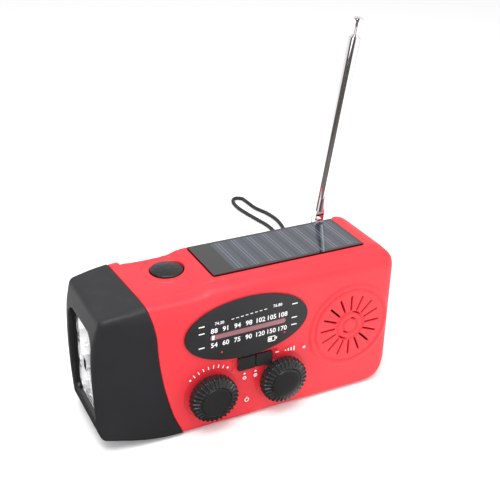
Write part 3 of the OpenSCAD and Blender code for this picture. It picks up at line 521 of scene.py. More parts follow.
@dataclass(frozen=True)
class Finish:
    """One material of the radio."""

    name: str
    colour: tuple[float, float, float]
    rough: float = 0.5
    metal: float = 0.0
    specular: float = 0.5
    pattern: Pattern = Pattern.GRAIN
    scale: float = 1500.0
    depth: float = 0.02
    tone: float = 0.06
    # Strength of the painted highlight that lightens convex edges.
    edge_highlight: float = 0.0
    dust: float = 0.1
    coat: float = 0.0
    clear: float = 0.0
    glow: float = 0.0

    def height(self, tree: Tree) -> Socket:
        """Draws the pattern's relief.

        Args:
            tree: The material's tree.

        Returns:
            The socket with the height.
        """
        spots = {"Vector": tree.add("TexCoord").outputs["Object"], "Scale": self.scale}
        if self.pattern is Pattern.BRUSHED:
            stretch = tree.add("Mapping", {"Vector": spots["Vector"], "Scale": (1.0, 1.0, 0.03)})
            spots["Vector"] = stretch.outputs[0]
            return tree.add("TexNoise", spots).outputs["Fac"]
        if self.pattern is Pattern.MOTTLED:
            return tree.add("TexVoronoi", spots, feature="SMOOTH_F1").outputs["Distance"]
        if self.pattern is Pattern.WOUND:
            return tree.add("TexWave", spots).outputs["Fac"]
        if self.pattern is Pattern.BRAID:
            parts = tree.add("SeparateXYZ", {0: tree.add("TexCoord").outputs["UV"]}).outputs
            u, v = tree.times(parts["X"], self.scale), tree.times(parts["Y"], 6.0)
            return tree.sum("MAXIMUM", *(tree.sum("SINE", tree.times(tree.sum(way, u, v), math.tau))
                                         for way in ("ADD", "SUBTRACT")))
        grain = tree.add("Group", node_tree=SHARED["grain"])
        grain.inputs["Scale"].default_value = self.scale
        return grain.outputs["Height"]

    def material(self) -> bpy.types.Material:
        """Builds the finish's material, or gives it if it is there.

        Returns:
            The material.
        """
        name = self.name + "_look"
        if name in bpy.data.materials:
            return bpy.data.materials[name]
        made = bpy.data.materials.new(name)
        made.use_nodes = True
        tree = Tree(made.node_tree)
        skin = made.node_tree.nodes["Principled BSDF"]
        link = made.node_tree.links.new
        tone = tree.add("Group", node_tree=SHARED["grain"]).outputs["Tone"]
        base = (*self.colour, 1.0)
        lifted = (*(min(1.0, c * (1 + 2 * self.tone) + 0.1 * self.tone) for c in self.colour), 1.0)
        colour = tree.blend(tone, base, lifted)
        rough = tree.sum("MULTIPLY_ADD", tone, 1.2 * self.tone, self.rough)
        if self.pattern is Pattern.CELLS:
            cells = tree.add("Group", node_tree=SHARED["cells"]).outputs
            colour, rough = cells["Colour"], tree.sum("MULTIPLY_ADD", cells["Line"], 0.2, self.rough)
        # Painted highlight: lightens the colour along convex edges, broken up by noise.
        if self.edge_highlight:
            highlit = tree.times(tree.add("Group", node_tree=SHARED["edge_highlight"]).outputs["Mask"], self.edge_highlight)
            colour = tree.blend(highlit, colour, (*(0.65 * c + 0.2 for c in self.colour), 1.0))
        if self.dust:
            film = tree.add("Group", node_tree=SHARED["dust"])
            film.inputs["Amount"].default_value = self.dust
            colour = tree.blend(tree.times(film.outputs["Mask"], 0.12), colour, (0.6, 0.58, 0.55, 1.0))
            rough = tree.sum("MULTIPLY_ADD", film.outputs["Mask"], 0.25, rough)
        link(colour, skin.inputs["Base Color"])
        link(rough, skin.inputs["Roughness"])
        plain = {"Metallic": self.metal, "Specular IOR Level": self.specular, "Coat Weight": self.coat,
                 "Coat Roughness": 0.08, "Transmission Weight": self.clear, "Emission Color": base,
                 "Emission Strength": self.glow}
        for label, value in plain.items():
            skin.inputs[label].default_value = value
        if self.depth:
            size = {"Height": self.height(tree), "Distance": self.depth * MM, "Strength": 0.6}
            link(tree.add("Bump", size).outputs[0], skin.inputs["Normal"])
        return made

    def paint(self, piece: Piece) -> None:
        """Gives a piece this finish alone."""
        piece.data.materials.clear()
        piece.data.materials.append(self.material())


SHARED = {"grain": fine_grain(), "edge_highlight": painted_edge_highlight(), "dust": dust(), "cells": cell_strips()}

# The red plastic carries a painted highlight along its convex edges.
RED = Finish("red_plastic", (0.74, 0.022, 0.036), 0.42, depth=0.012, tone=0.03, edge_highlight=0.1)
CHARCOAL = Finish("charcoal_plastic", (0.017, 0.017, 0.019), 0.5, specular=0.3, depth=0.008, tone=0.02)
DIAL = Finish("dial_plastic", (0.018, 0.018, 0.02), 0.45, specular=0.35, depth=0.01, tone=0.04, dust=0.05)
BLACK = Finish("control_plastic", (0.018, 0.018, 0.019), 0.3, specular=0.4, depth=0.008, tone=0.02,
               dust=0.02)
KNOB = Finish("knob_plastic", (0.015, 0.015, 0.016), 0.24, specular=0.4, depth=0.006, tone=0.02, dust=0.0)
MOTTLED = Finish("button_rubber", (0.006, 0.006, 0.007), 0.3, specular=0.4, pattern=Pattern.MOTTLED,
                 scale=700.0, depth=0.35, dust=0.0)
GLOSS = Finish("gloss_black", (0.004, 0.004, 0.005), 0.08, depth=0.0, tone=0.02, coat=0.6)
LENS = Finish("lens_clear", (1.0, 1.0, 1.0), 0.015, depth=0.0, tone=0.0, dust=0.0, clear=1.0)
WINDOW = Finish("dial_glow", (0.30, 0.13, 0.15), 0.25, depth=0.0, tone=0.05, dust=0.0)
MIRROR = Finish("mirror_coat", (0.93, 0.94, 0.96), 0.06, metal=1.0, depth=0.0, tone=0.02, dust=0.0)
DIODE = Finish("diode", (0.92, 0.90, 0.72), 0.2, depth=0.0, tone=0.02, dust=0.0, coat=0.5)
SOLAR = Finish("solar_cells", (0.03, 0.03, 0.04), 0.05, pattern=Pattern.CELLS, depth=0.0, dust=0.0, coat=0.5)
CHROME = Finish("chrome", (0.90, 0.90, 0.92), 0.05, metal=1.0, depth=0.0, tone=0.02, dust=0.0)
STEEL = Finish("steel", (0.58, 0.58, 0.60), 0.3, metal=1.0, pattern=Pattern.BRUSHED, depth=0.01, dust=0.05)
BRASS = Finish("brass", (0.75, 0.55, 0.22), 0.3, metal=1.0, pattern=Pattern.BRUSHED, depth=0.01)
COPPER = Finish("copper_wire", (0.62, 0.26, 0.10), 0.3, metal=0.7, pattern=Pattern.WOUND, scale=900.0,
                depth=0.2)
CREAM = Finish("acetal", (0.78, 0.76, 0.68), 0.45, depth=0.01)
POINTER = Finish("pointer_white", (0.92, 0.92, 0.92), 0.4, depth=0.0, dust=0.0)
BOARD = Finish("circuit_board", (0.02, 0.16, 0.05), 0.3, scale=3000.0, depth=0.02, tone=0.15)
FERRITE = Finish("ferrite", (0.05, 0.048, 0.045), 0.6, scale=2500.0, depth=0.04)
CELL_WRAP = Finish("cell_wrap", (0.03, 0.10, 0.42), 0.18, depth=0.01)
PAPER = Finish("paper_cone", (0.02, 0.02, 0.02), 0.8, scale=1800.0, depth=0.08)
RUBBER = Finish("soft_rubber", (0.55, 0.02, 0.03), 0.6, scale=1800.0, depth=0.02)
BRAID = Finish("strap_braid", (0.022, 0.022, 0.025), 0.75, pattern=Pattern.BRAID, scale=220.0, depth=0.22)
PRINT = Finish("white_print", (0.86, 0.86, 0.86), 0.5, depth=0.0, tone=0.02, dust=0.0)
RED_DOT = Finish("red_print", (0.8, 0.02, 0.03), 0.5, depth=0.0, tone=0.02, dust=0.0)
FLOOR = Finish("floor", (0.93, 0.93, 0.93), 0.9, specular=0.0, depth=0.0, tone=0.0, dust=0.0, glow=0.12)
CARD = Finish("studio_card", (0.085, 0.07, 0.065), 0.9, depth=0.0, tone=0.0, dust=0.0)


# ---- Outer form of the casing ----


@dataclass
class CasingForm:
    """The casing's smooth outer form, from its three outlines."""

    c: Casing

    def side(self) -> Outline:
        """Gives the outline seen from the front.

        Returns:
            Its points, x and z.
        """
        c = self.c
        x, top, r = c.end_x, c.height, 2.4
        head_top = c.deck_z - c.head_fall
        left = -x - c.head_end
        bulge = ((47, 0.3), (42, 0.7), (36, 0.95), (29, 1), (20, 0.7), (13, 0.3))
        return (
            arc((left + r, c.head_rise + r), r, 180, 258)
            + [(-46, c.head_rise * 0.45), (-37, c.head_rise * 0.15), (-27, 0)]
            + arc((x - 12, 12), 12, 270, 360, 30)
            + arc((x - 9, top - 9), 9, 0, 90, 30)
            + [(c.plateau_x, top), (-19, top - 0.66), (-22, c.deck_z + 0.2 - 0.3 * c.saddle)]
            + [(-26, c.deck_z - 0.7 * c.saddle), (-32, c.deck_z - c.saddle)]
            + [(-37, c.deck_z - 0.6 * c.saddle), (-42.5, c.deck_z)]
            + arc((left + 1.2 + r, head_top - r), r, 99, 170)
            + [(left - c.head_bulge * share, z) for z, share in bulge]
        )

    def section(self) -> Outline:
        """Gives the outline seen from the lamp's end.

        Returns:
            Its points, y and z.
        """
        c = self.c
        y, top, r = c.face_y, c.height, c.shoulder_r
        return (
            arc((-y + 2, 2), 2, 180, 270)
            + arc((y - 3, 3), 3, 270, 360)
            + arc((y - c.back_r, top - c.back_r), c.back_r, 0, 90)
            + [(-12.2, top), (-12.8, top - 0.6)]
            + arc((-y + r, top - 1.2 - r), r, 92, 180, 30)
        )

    def plan(self) -> Outline:
        """Gives the outline seen from above.

        Returns:
            Its points, x and y.
        """
        c = self.c
        x, y, r = c.end_x, c.face_y, 6.0
        half = (
            arc((x - r, y - r), r, 0, 90, 24)
            + [(-42, y), (-49, y - 0.25 * c.head_taper)]
            + arc((-x - c.head_end - c.head_bulge + 3.5, y - c.head_taper - 3.5), 3.5, 98, 180)
        )
        return half + [(u, -v) for u, v in reversed(half)]

    def fill(self, mould: Mould, edge: float) -> None:
        """Fills a mould's grid with the form.

        Args:
            mould: The mould.
            edge: Radius that softens the edges where the outlines meet.
        """
        reach = max(1, round(0.7 / mould.step))
        x, y, z = mould.x.ravel(), mould.y.ravel(), mould.z.ravel()
        sides = ((self.side(), x, z), (self.section(), y, z), (self.plan(), x, y))
        side, section, plan = (softened(outline_distance(line, u[:, None], v[None, :]), reach)
                               for line, u, v in sides)
        mould.d = both(edge, side[:, None, :], section[None, :, :], plan[:, :, None])

    def head_side(self, mould: Mould, grow: float) -> Array:
        """Gives the distances to the lamp's side of the seam.

        Args:
            mould: The mould whose grid is used.
            grow: How far the seam moves towards the speaker.

        Returns:
            Distances over the whole grid, negative on the lamp's side.
        """
        turn = math.radians(self.c.seam_turn)
        seam = [(-27.5, -5), (-31, 0), (-33.4, 5), (-35.5, 10), (-37.4, 17), (-39, 24), (-40.1, 31)]
        seam += [(-40.9, 38), (-41.3, 46), (-42.4, 51), (-43.6, 55), (-44.6, 60), (-46, 70)]
        start, step = -80, 0.2
        across = np.arange(start, 0, step, dtype=np.float32)
        z = mould.z[0, 0, :]
        table = outline_distance([(-90.0, -5.0), *seam, (-90.0, 70.0)], across[:, None], z[None, :])
        table = softened(table, 6)
        along = (mould.x * math.cos(turn) + mould.y * math.sin(turn))[:, :, 0] - grow
        cell = np.clip((along - start) / step, 0, len(across) - 1.001)
        base = cell.astype(int)
        part = (cell - base)[:, :, None].astype(np.float32)
        return table[base] * (1 - part) + table[base + 1] * part


# ---- Shells ----


@dataclass
class Shell:
    """A shell of the casing, cut from its outer form."""

    name: str = ""
    finish: Finish | None = None
    slot: str = ""
    low: Point = (0, 0, 0)
    high: Point = (0, 0, 0)
    edge: float = 2.6
    step: float = 0.3
    keep: float = 0.3

    def shape(self, mould: Mould, outer: Array, form: CasingForm) -> None:
        """Shapes the filled mould."""
        raise NotImplementedError

    def build(self, form: CasingForm) -> Piece:
        """Builds the shell.

        Args:
            form: The casing's outer form.

        Returns:
            The piece.
        """
        mould = Mould(self.low, self.high, self.step)
        form.fill(mould, self.edge)
        self.shape(mould, mould.d.copy(), form)
        made = mould.mesh(f"{self.name}_skin", self.keep)
        return settle(made, "case", self.finish, self.slot, self.name)


@dataclass
class FrontShell(Shell):
    """The red front shell with its deck, dial pocket, knob wells, grille and solar pocket."""

    name: str = "front_shell"
    finish: Finish = RED
    slot: str = "red_shell"
    low: Point = (-50, -22, -1)
    high: Point = (61.5, 16, 61.6)
    dial: Pair = (-5.0, 41.6)
    dial_half: Pair = (25.15, 12.75)
    dial_deep: float = 0.7
    knobs: Pair = (-19.6, 9.6)
    knob_z: float = 15.7
    well_r: float = 10.3
    well_deep: float = 0.8
    slider: Pair = (-1.4, 25.6)
    slider_size: Pair = (19.4, 6.1)
    slider_deep: float = 1.4
    slider_draft: float = 0.32
    grille: Pair = (40.0, 30.5)
    grille_rim: Pair = (18.6, 1.3)
    grille_high: float = 0.75
    grille_rings: Point = (15.8, 5.9, 3.2)
    ring_width: float = 0.45
    ring_half: float = 0.24
    ring_split: float = 60.0
    slots: int = 16
    slot_r: Pair = (6.9, 12.95)
    slot_half: float = 0.36
    solar: Pair = (17.6, 1.9)
    solar_size: Pair = (64.4, 25.0)
    solar_floor: float = 58.85
    button: Pair = (-26.6, 4.7)
    button_r: float = 6.55
    button_ring: Point = (9.5, 0.45, 0.27)

    def relief(self, mould: Mould) -> None:
        """Raises the grille's disc and sinks the fine rings in the face and the deck.

        Args:
            mould: The shell's mould.
        """
        x, y, z = mould.x, mould.y, mould.z
        far = np.hypot(x - self.grille[0], z - self.grille[1])
        outer, slope = self.grille_rim
        rise = np.clip((outer - far) / slope, 0, 1)
        front = self.grille_high * rise * rise * (3 - 2 * rise)
        for r in self.grille_rings:
            front = front - self.grille_high * np.exp(-(((far - r) / self.ring_width) ** 2))
        mould.d -= front * (y < -8)
        radius, deep, width = self.button_ring
        mould.d += deep * np.exp(-((disc(x, y, self.button, radius) / width) ** 2)) * (z > 45)

    def slots_at(self, x: Array, z: Array) -> Array:
        """Gives the distances to the grille's slots and split rings, in the front view.

        Args:
            x: First coordinates.
            z: Second coordinates.

        Returns:
            Distances, negative inside.
        """
        u, v = x - self.grille[0], z - self.grille[1]
        nearest = np.full(np.broadcast(u, v).shape, FAR, np.float32)
        for i in range(self.slots):
            a = math.tau * i / self.slots
            ends = [(r * math.cos(a), r * math.sin(a)) for r in self.slot_r]
            nearest = np.minimum(nearest, stick(u, v, *ends, self.slot_half))
        far = np.hypot(u, v)
        turn = math.radians(self.ring_split)
        along = np.abs(u * math.cos(turn) + v * math.sin(turn))
        for r in self.grille_rings[1:]:
            nearest = np.minimum(nearest, np.maximum(np.abs(far - r) - self.ring_half, 0.95 * r - along))
        return nearest

    def shape(self, mould: Mould, outer: Array, form: CasingForm) -> None:
        """Hollows the shell, trims it at its seams and sinks its pockets.

        Args:
            mould: The filled mould.
            outer: Distances to the outer form.
            form: The casing's outer form.
        """
        c = form.c
        face, top = -c.face_y, c.height
        inner = face + c.wall
        self.relief(mould)
        mould.d = both(0.2, mould.d, -(outer + c.wall))
        solid = both(0.2, outer, slab(mould.x, -16.5, 51.5), slab(mould.y, -12.5, 15.3),
                     self.solar_floor - 1.8 - mould.z)
        wall = both(0.2, outer, slab(mould.x, -40, 56), slab(mould.y, 13.4, 15.3), 52.6 - mould.z)
        mould.d = either(0.3, either(0.3, mould.d, solid), wall)
        mould.d = both(0.22, mould.d, mould.y - c.seam_y + c.seam_gap, -form.head_side(mould, c.seam_gap))
        mould.bore(2, lambda x, y: plate(x, y, self.solar, self.solar_size, 0.7), self.solar, (33, 13),
                   (top, self.solar_floor), 0.3, True)
        mould.bore(2, lambda x, y: disc(x, y, self.button, self.button_r), self.button, (8, 8),
                   (top, 51), 0.35)
        mould.bore(1, lambda x, z: oval(x, z, self.dial, *self.dial_half), self.dial, (27, 14),
                   (face, face + self.dial_deep), 0.25, True)
        slot = (self.dial[0] + 0.2, self.dial[1] - 1.1)
        mould.bore(1, lambda x, z: plate(x, z, slot, (30, 3.8), 0.8), slot, (17, 4), (face, inner), 0.1)
        for knob in ((x, self.knob_z) for x in self.knobs):
            mould.bore(1, lambda x, z: disc(x, z, knob, self.well_r), knob, (12, 12),
                       (face, face + self.well_deep), 0.45, True)
            mould.bore(1, lambda x, z: disc(x, z, knob, 2.2), knob, (4, 4), (face, inner), 0.1)
        mould.bore(1, lambda x, z: plate(x, z, self.slider, self.slider_size, 0.5), self.slider, (12, 5),
                   (face, face + self.slider_deep), 0.3, True, self.slider_draft)
        mould.bore(1, lambda x, z: plate(x, z, self.slider, (8.4, 3.2), 0.3), self.slider, (6, 3),
                   (face, inner), 0.1)
        mould.bore(1, self.slots_at, self.grille, (15, 15), (face - 1, inner), 0.2)


@dataclass
class RearCover(Shell):
    """The red rear cover with the crank's dish, the antenna's groove and the sockets' well."""

    name: str = "rear_cover"
    finish: Finish = RED
    slot: str = "red_shell"
    low: Point = (-50, 9, -1)
    high: Point = (61.5, 27, 61.6)
    crank: Pair = (8.0, 27.4)
    dish_r: float = 23.0
    dish_y: float = 12.4
    dish_draft: float = 0.1
    groove_z: float = 54.6
    groove_x: Pair = (-41.0, 49.6)
    mast: Pair = (45.6, 18.2)
    port: Pair = (45.5, 13.0)
    cover: Pair = (16.5, 12.5)
    sockets: tuple[tuple[float, Pair], ...] = ((2.2, (13.4, 5.9)), (-3.4, (8.0, 3.4)))
    well_deep: float = 1.8
    posts: tuple[Pair, ...] = ((-31, 6.5), (-34.5, 47), (31, 6.5), (53, 45.5))
    lug: Point = (51.8, 22.85, 32.0)

    def solid(self, mould: Mould, outer: Array, form: CasingForm) -> None:
        """Leaves the wall, and adds the dish's cup, the shelf, the well's foot and the posts.

        Args:
            mould: The filled mould.
            outer: Distances to the outer form.
            form: The casing's outer form.
        """
        c = form.c
        x, y, z = mould.x, mould.y, mould.z
        rim = np.abs(disc(x, z, self.crank, self.dish_r + 1.3))
        mould.d -= 0.35 * np.exp(-((rim / 0.9) ** 2)) * (y > 17)
        mould.d = both(0.2, mould.d, -(outer + c.wall))
        round_dish = disc(x, z, self.crank, self.dish_r + c.wall)
        cup = both(0.3, round_dish, self.dish_y - c.wall - y, outer)
        shelf = both(0.3, slab(x, -60, 56), self.groove_z - c.wall - z, outer)
        foot = both(0.3, plate(x, z, self.port, (self.cover[0] + 3.5, self.cover[1] + 2.5), 1.5),
                    c.face_y - self.well_deep - 1.6 - y, outer)
        mould.d = either(0.3, mould.d, both(0, either(0.3, shelf, foot), c.seam_y - y))
        for p in self.posts:
            mould.d = either(0.3, mould.d, both(0.2, disc(x, z, p, 3.5), c.seam_y - y, outer))
        keep_in = np.minimum(c.seam_y + c.seam_gap - y, round_dish)
        mould.d = both(0.2, either(0.3, mould.d, cup), keep_in, -form.head_side(mould, c.seam_gap))

    def shape(self, mould: Mould, outer: Array, form: CasingForm) -> None:
        """Shapes the solid, then sinks the dish, the groove, the well and the holes.

        Args:
            mould: The filled mould.
            outer: Distances to the outer form.
            form: The casing's outer form.
        """
        back = form.c.face_y
        self.solid(mould, outer, form)
        mould.bore(1, lambda x, z: disc(x, z, self.crank, self.dish_r), self.crank, (26, 26),
                   (back, self.dish_y), 0.9, True, self.dish_draft)
        mould.bore(1, lambda x, z: disc(x, z, self.crank, 3.2), self.crank, (5, 5), (self.dish_y, 10), 0.2)
        end, low = self.groove_x[1], self.groove_z
        middle, half = (end + self.groove_x[0]) / 2, (end - self.groove_x[0]) / 2
        mould.bore(2, lambda x, y: slab(x, *self.groove_x) + 0 * y, (middle, 18), (half + 1, 9), (61, low),
                   0.6, True)
        mould.bore(2, lambda x, y: disc(x, y, (end, self.mast[1]), 3.2), (end, 18), (5, 9), (61, low),
                   0.5, True)
        mould.bore(2, lambda x, y: disc(x, y, self.mast, 1.6), self.mast, (3, 4.2), (low, 49), 0.1)
        floor = back - self.well_deep
        mould.bore(1, lambda x, z: plate(x, z, self.port, self.cover, 1.2), self.port, (10, 8),
                   (back, floor), 0.3, True)
        for dz, size in self.sockets:
            at = (self.port[0], self.port[1] + dz)
            mould.bore(1, lambda x, z: plate(x, z, at, size, 0.4), at, (8, 5), (floor, 15), 0.1)
        for p in self.posts:
            mould.bore(1, lambda x, z: disc(x, z, p, 2.4), p, (4, 4), (back, back - 2.2), 0.35, True)
            mould.bore(1, lambda x, z: disc(x, z, p, 1.3), p, (2, 2), (back - 2, 15), 0.1)
        lx, ly, lz = self.lug
        mould.add(lambda x, y, z: both(0.5, slab(x, lx - 1.3, lx + 1.3),
                                       stick(y, z, (ly - 3.5, lz), (ly, lz), 3.0)),
                  (lx - 6, back - 1.5, lz - 8), (lx + 6, 27, lz + 8), 1.2)
        mould.bore(0, lambda y, z: disc(y, z, (ly, lz), 1.5), (ly, lz), (3, 3), (lx - 4, lx + 4), 0.35)


@dataclass
class HeadBezel(Shell):
    """The charcoal bezel round the lamp, with its soft lip."""

    name: str = "head_bezel"
    finish: Finish = CHARCOAL
    slot: str = "charcoal_plastic"
    low: Point = (-65.0, -21.5, -1)
    high: Point = (-25, 21.5, 61.6)
    edge: float = 1.8
    lamp: Pair = (0.0, 28.8)
    opening: Pair = (25.4, 37.4)
    corner_r: float = 4.5

    def shape(self, mould: Mould, outer: Array, form: CasingForm) -> None:
        """Hollows the bezel, trims it at the seam and opens it for the lamp.

        Args:
            mould: The filled mould.
            outer: Distances to the outer form.
            form: The casing's outer form.
        """
        c = form.c
        mould.d = both(0.2, mould.d, form.head_side(mould, -c.seam_gap))
        mould.d = both(0.2, mould.d, -both(1.0, outer + c.wall, -mould.x - c.end_x + 4))
        mould.bore(0, lambda y, z: plate(y, z, self.lamp, self.opening, self.corner_r), self.lamp,
                   (15, 23.5), (-64, -49), 0.8)


# ---- Camera, floor and lights ----


@dataclass(frozen=True)
class Studio:
    """The camera's place, the pale floor and the soft lights."""

    azimuth: float = 27.33
    elevation: float = 27.02
    distance: float = 341.78
    target: Point = (5.36, 0.01, 61.59)
    roll: float = 1.53
    lens: float = 65.1
    world: float = 0.8
    floor_half: float = 30000.0
    cards: tuple[tuple[str, float, float], ...] = (("card_front", 163.0, 263.0), ("card_side", 358.0, 366.0))
    card_foot: Pair = (45.6, 18.2)
    card_reach: Pair = (60.0, 900.0)
    card_high: Pair = (0.3, 800.0)
    lights: tuple[tuple[Point, float, float], ...] = (
        ((-120.0, -160.0, 620.0), 460.0, 3.6),
        ((-560.0, -330.0, 260.0), 330.0, 0.6),
        ((420.0, -420.0, 300.0), 300.0, 0.35),
    )

    def camera(self) -> Piece:
        """Makes the camera.

        Returns:
            The camera.
        """
        data = bpy.data.cameras.new("camera")
        data.lens, data.sensor_width = self.lens, 36.0
        data.clip_start, data.clip_end = 0.01, 60.0
        made = bpy.data.objects.new("camera", data)
        bpy.context.scene.collection.objects.link(made)
        bpy.context.scene.camera = made
        a, e, r = (math.radians(v) for v in (self.azimuth, self.elevation, self.roll))
        back = Vector((-math.sin(a) * math.cos(e), -math.cos(a) * math.cos(e), math.sin(e)))
        right = Vector((0, 0, 1)).cross(back).normalized()
        up = back.cross(right)
        axes = (right * math.cos(r) + up * math.sin(r), up * math.cos(r) - right * math.sin(r), back)
        turn = Matrix(axes).transposed().to_4x4()
        made.matrix_world = Matrix.Translation((Vector(self.target) + back * self.distance) * MM) @ turn
        return made

    def build(self) -> None:
        """Makes the floor, the lights and the world's light."""
        scene = bpy.context.scene
        scene.view_settings.view_transform = "Standard"
        far = self.floor_half
        floor = piece_of("floor", [(-far, -far, 0), (far, -far, 0), (far, far, 0), (-far, far, 0)],
                         [(0, 1, 2, 3)], None)
        FLOOR.paint(floor)
        for i, (place, size, power) in enumerate(self.lights):
            lamp = bpy.data.lights.new(f"softbox_{i}", "AREA")
            lamp.shape, lamp.size, lamp.energy = "SQUARE", size * MM, power
            made = bpy.data.objects.new(f"softbox_{i}", lamp)
            scene.collection.objects.link(made)
            at = Vector(place) * MM
            aim = (at - Vector((0.0, 0.0, 0.03))).to_track_quat("Z", "Y").to_matrix().to_4x4()
            made.matrix_world = Matrix.Translation(at) @ aim
        (near, far), (low, high) = self.card_reach, self.card_high
        for name, start, end in self.cards:
            points = [(x, y, z) for r, z in ((near, low), (far, low), (far, high))
                      for x, y in arc(self.card_foot, r, start, end)]
            n = len(points) // 3
            faces = [(k + i, k + i + 1, k + n + i + 1, k + n + i) for k in (0, n) for i in range(n - 1)]
            card = piece_of(name, points, faces, None)
            CARD.paint(card)
            card.visible_diffuse = card.visible_shadow = card.visible_camera = False
            card.visible_transmission = False
        world = bpy.data.worlds.new("studio")
        scene.world = world
        world.use_nodes = True
        sky = world.node_tree.nodes["Background"]
        sky.inputs["Color"].default_value = (1.0, 1.0, 1.0, 1.0)
        sky.inputs["Strength"].default_value = self.world


# ---- Making of meshes ----


def skin_faces(rows: int, n: int, ends: bool = True) -> list[tuple[int, ...]]:
    """Gives the faces of a skin that runs through rows of points.

    Args:
        rows: How many rows there are.
        n: Points in each row.
        ends: Whether its two ends are closed.

    Returns:
        The faces.
    """
    faces = [(j + i, j + (i + 1) % n, j + n + (i + 1) % n, j + n + i)
             for j in range(0, (rows - 1) * n, n) for i in range(n)]
    if ends:
        faces += [tuple(reversed(range(n))), tuple(range((rows - 1) * n, rows * n))]
    return faces


def piece_of(name: str, points: object, faces: object, smooth: float | None = 35.0) -> Piece:
    """Makes a piece from points in millimetres.

    Args:
        name: The piece's name.
        points: Its points.
        faces: Its faces.
        smooth: Angle up to which edges are smooth, in degrees, or None for flat faces.

    Returns:
        The piece.
    """
    data = bpy.data.meshes.new(name)
    data.from_pydata([tuple(c * MM for c in p) for p in points], [], [tuple(f) for f in faces])
    data.validate()
    made = bpy.data.objects.new(name, data)
    bpy.context.scene.collection.objects.link(made)
    if smooth is not None:
        data.shade_smooth()
        data.set_sharp_from_angle(angle=math.radians(smooth))
    return made


def settle(piece: Piece, body: str, finish: Finish, slot: str, *nodes: str) -> Piece:
    """Puts a piece on its body, with its finish.

    Args:
        piece: The piece.
        body: The body it rides.
        finish: Its finish.
        slot: The record's material slot; not used.
        *nodes: CAD nodes that it stands for.

    Returns:
        The piece.
    """
    finish.paint(piece)
    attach(piece, body)
    if nodes:
        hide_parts(*nodes)
    return piece


def turned(name: str, rows: list, at: Point, axis: Point, teeth: int = 0, steps: int = 96) -> Piece:
    """Makes a turned piece, with grooves round it if it has teeth.

    Args:
        name: The piece's name.
        rows: Radius and height, and with teeth how far a groove goes inwards and downwards there.
        at: Foot of its axis.
        axis: Direction of its axis.
        teeth: Number of grooves.
        steps: Steps round it.

    Returns:
        The piece.
    """
    way = Vector(axis).normalized()
    u = way.orthogonal().normalized()
    v = way.cross(u)
    points = []
    for radius, height, *cut in rows:
        inward, down = cut or (0, 0)
        for i in range(steps):
            a = math.tau * i / steps
            groove = max(0.0, min(1.0, 0.62 - 0.9 * math.cos(teeth * a))) if teeth else 0.0
            r, h = radius - inward * groove, height - down * groove
            points.append(Vector(at) + u * (r * math.cos(a)) + v * (r * math.sin(a)) + way * h)
    return piece_of(name, points, skin_faces(len(rows), steps))


def smooth_line(points: list[Point], steps: int) -> list[Vector]:
    """Gives a smooth line through points.

    Args:
        points: The points.
        steps: Steps between two of them.

    Returns:
        Points on the line.
    """
    line = []
    for i in range(len(points) - 1):
        a, b = Vector(points[max(i - 1, 0)]), Vector(points[i])
        c, d = Vector(points[i + 1]), Vector(points[min(i + 2, len(points) - 1)])
        for s in range(steps):
            t = s / steps
            line.append(0.5 * (2 * b + (c - a) * t + (2 * a - 5 * b + 4 * c - d) * t * t
                               + (3 * b - 3 * c + d - a) * t * t * t))
    return line + [Vector(points[-1])]


# ---- Sub-assemblies ----


@dataclass
class Strap:
    """The braided wrist strap, looped through its lug and laid out on the floor."""

    radius: float = 1.0
    sides: int = 10
    points: list[Point] = field(default_factory=lambda: [
        (51.9, 22.85, 32), (54.6, 23.2, 31.7), (57, 25.4, 29.6), (58.4, 28.4, 25), (59.2, 31.4, 18),
        (60, 34.6, 10), (61.2, 39, 4), (63, 46, 1.6), (65.6, 56, 1.1), (69, 68, 1.1), (73.4, 82, 1.1),
        (78.4, 96, 1.1), (84, 110, 1.1), (88.6, 122, 1.1), (90.4, 133, 1.1), (89.4, 143, 1.1),
        (86.6, 152, 1.1), (86, 161, 1.1), (85.4, 167, 1.1), (82, 169, 1.1), (78.8, 165.6, 1.1),
        (77.6, 158, 1.1), (78.4, 149, 1.1), (80.4, 138, 1.1), (82.2, 127, 1.1), (81, 115, 1.1),
        (75.6, 102, 1.1), (69.4, 88, 1.1), (63.6, 74, 1.1), (58.6, 60, 1.1), (55, 48, 1.8),
        (52.6, 39.6, 5.4), (50.2, 34, 12), (48, 30.4, 20), (46.6, 27.2, 26.6), (47.4, 24, 30.8),
        (49.6, 22.9, 32), (51.7, 22.85, 32)])

    def build(self) -> Piece:
        """Returns:
            The piece.
        """
        line = smooth_line(self.points, 6)
        length = sum((b - a).length for a, b in zip(line, line[1:]))
        points, along = [], [0.0]
        side = Vector((0, 0, 1))
        for i, at in enumerate(line):
            way = (line[min(i + 1, len(line) - 1)] - line[max(i - 1, 0)]).normalized()
            side = (side - way * side.dot(way)).normalized()
            third = way.cross(side)
            if i:
                along.append(along[-1] + (at - line[i - 1]).length / length)
            for k in range(self.sides):
                a = math.tau * k / self.sides
                points.append(at + self.radius * (side * math.cos(a) + third * math.sin(a)))
        n = self.sides
        made = piece_of("wrist_strap_cord", points, skin_faces(len(line), n), 80)
        sheet = made.data.uv_layers.new(name="along")
        for face in made.data.polygons[:-2]:
            i, k = divmod(face.index, n)
            corners = ((i, k), (i, k + 1), (i + 1, k + 1), (i + 1, k))
            for loop, (row, turn) in zip(face.loop_indices, corners):
                sheet.data[loop].uv = (along[row], turn / n)
        settle(made, "case", BRAID, "strap_braid", "wrist_strap")
        return made


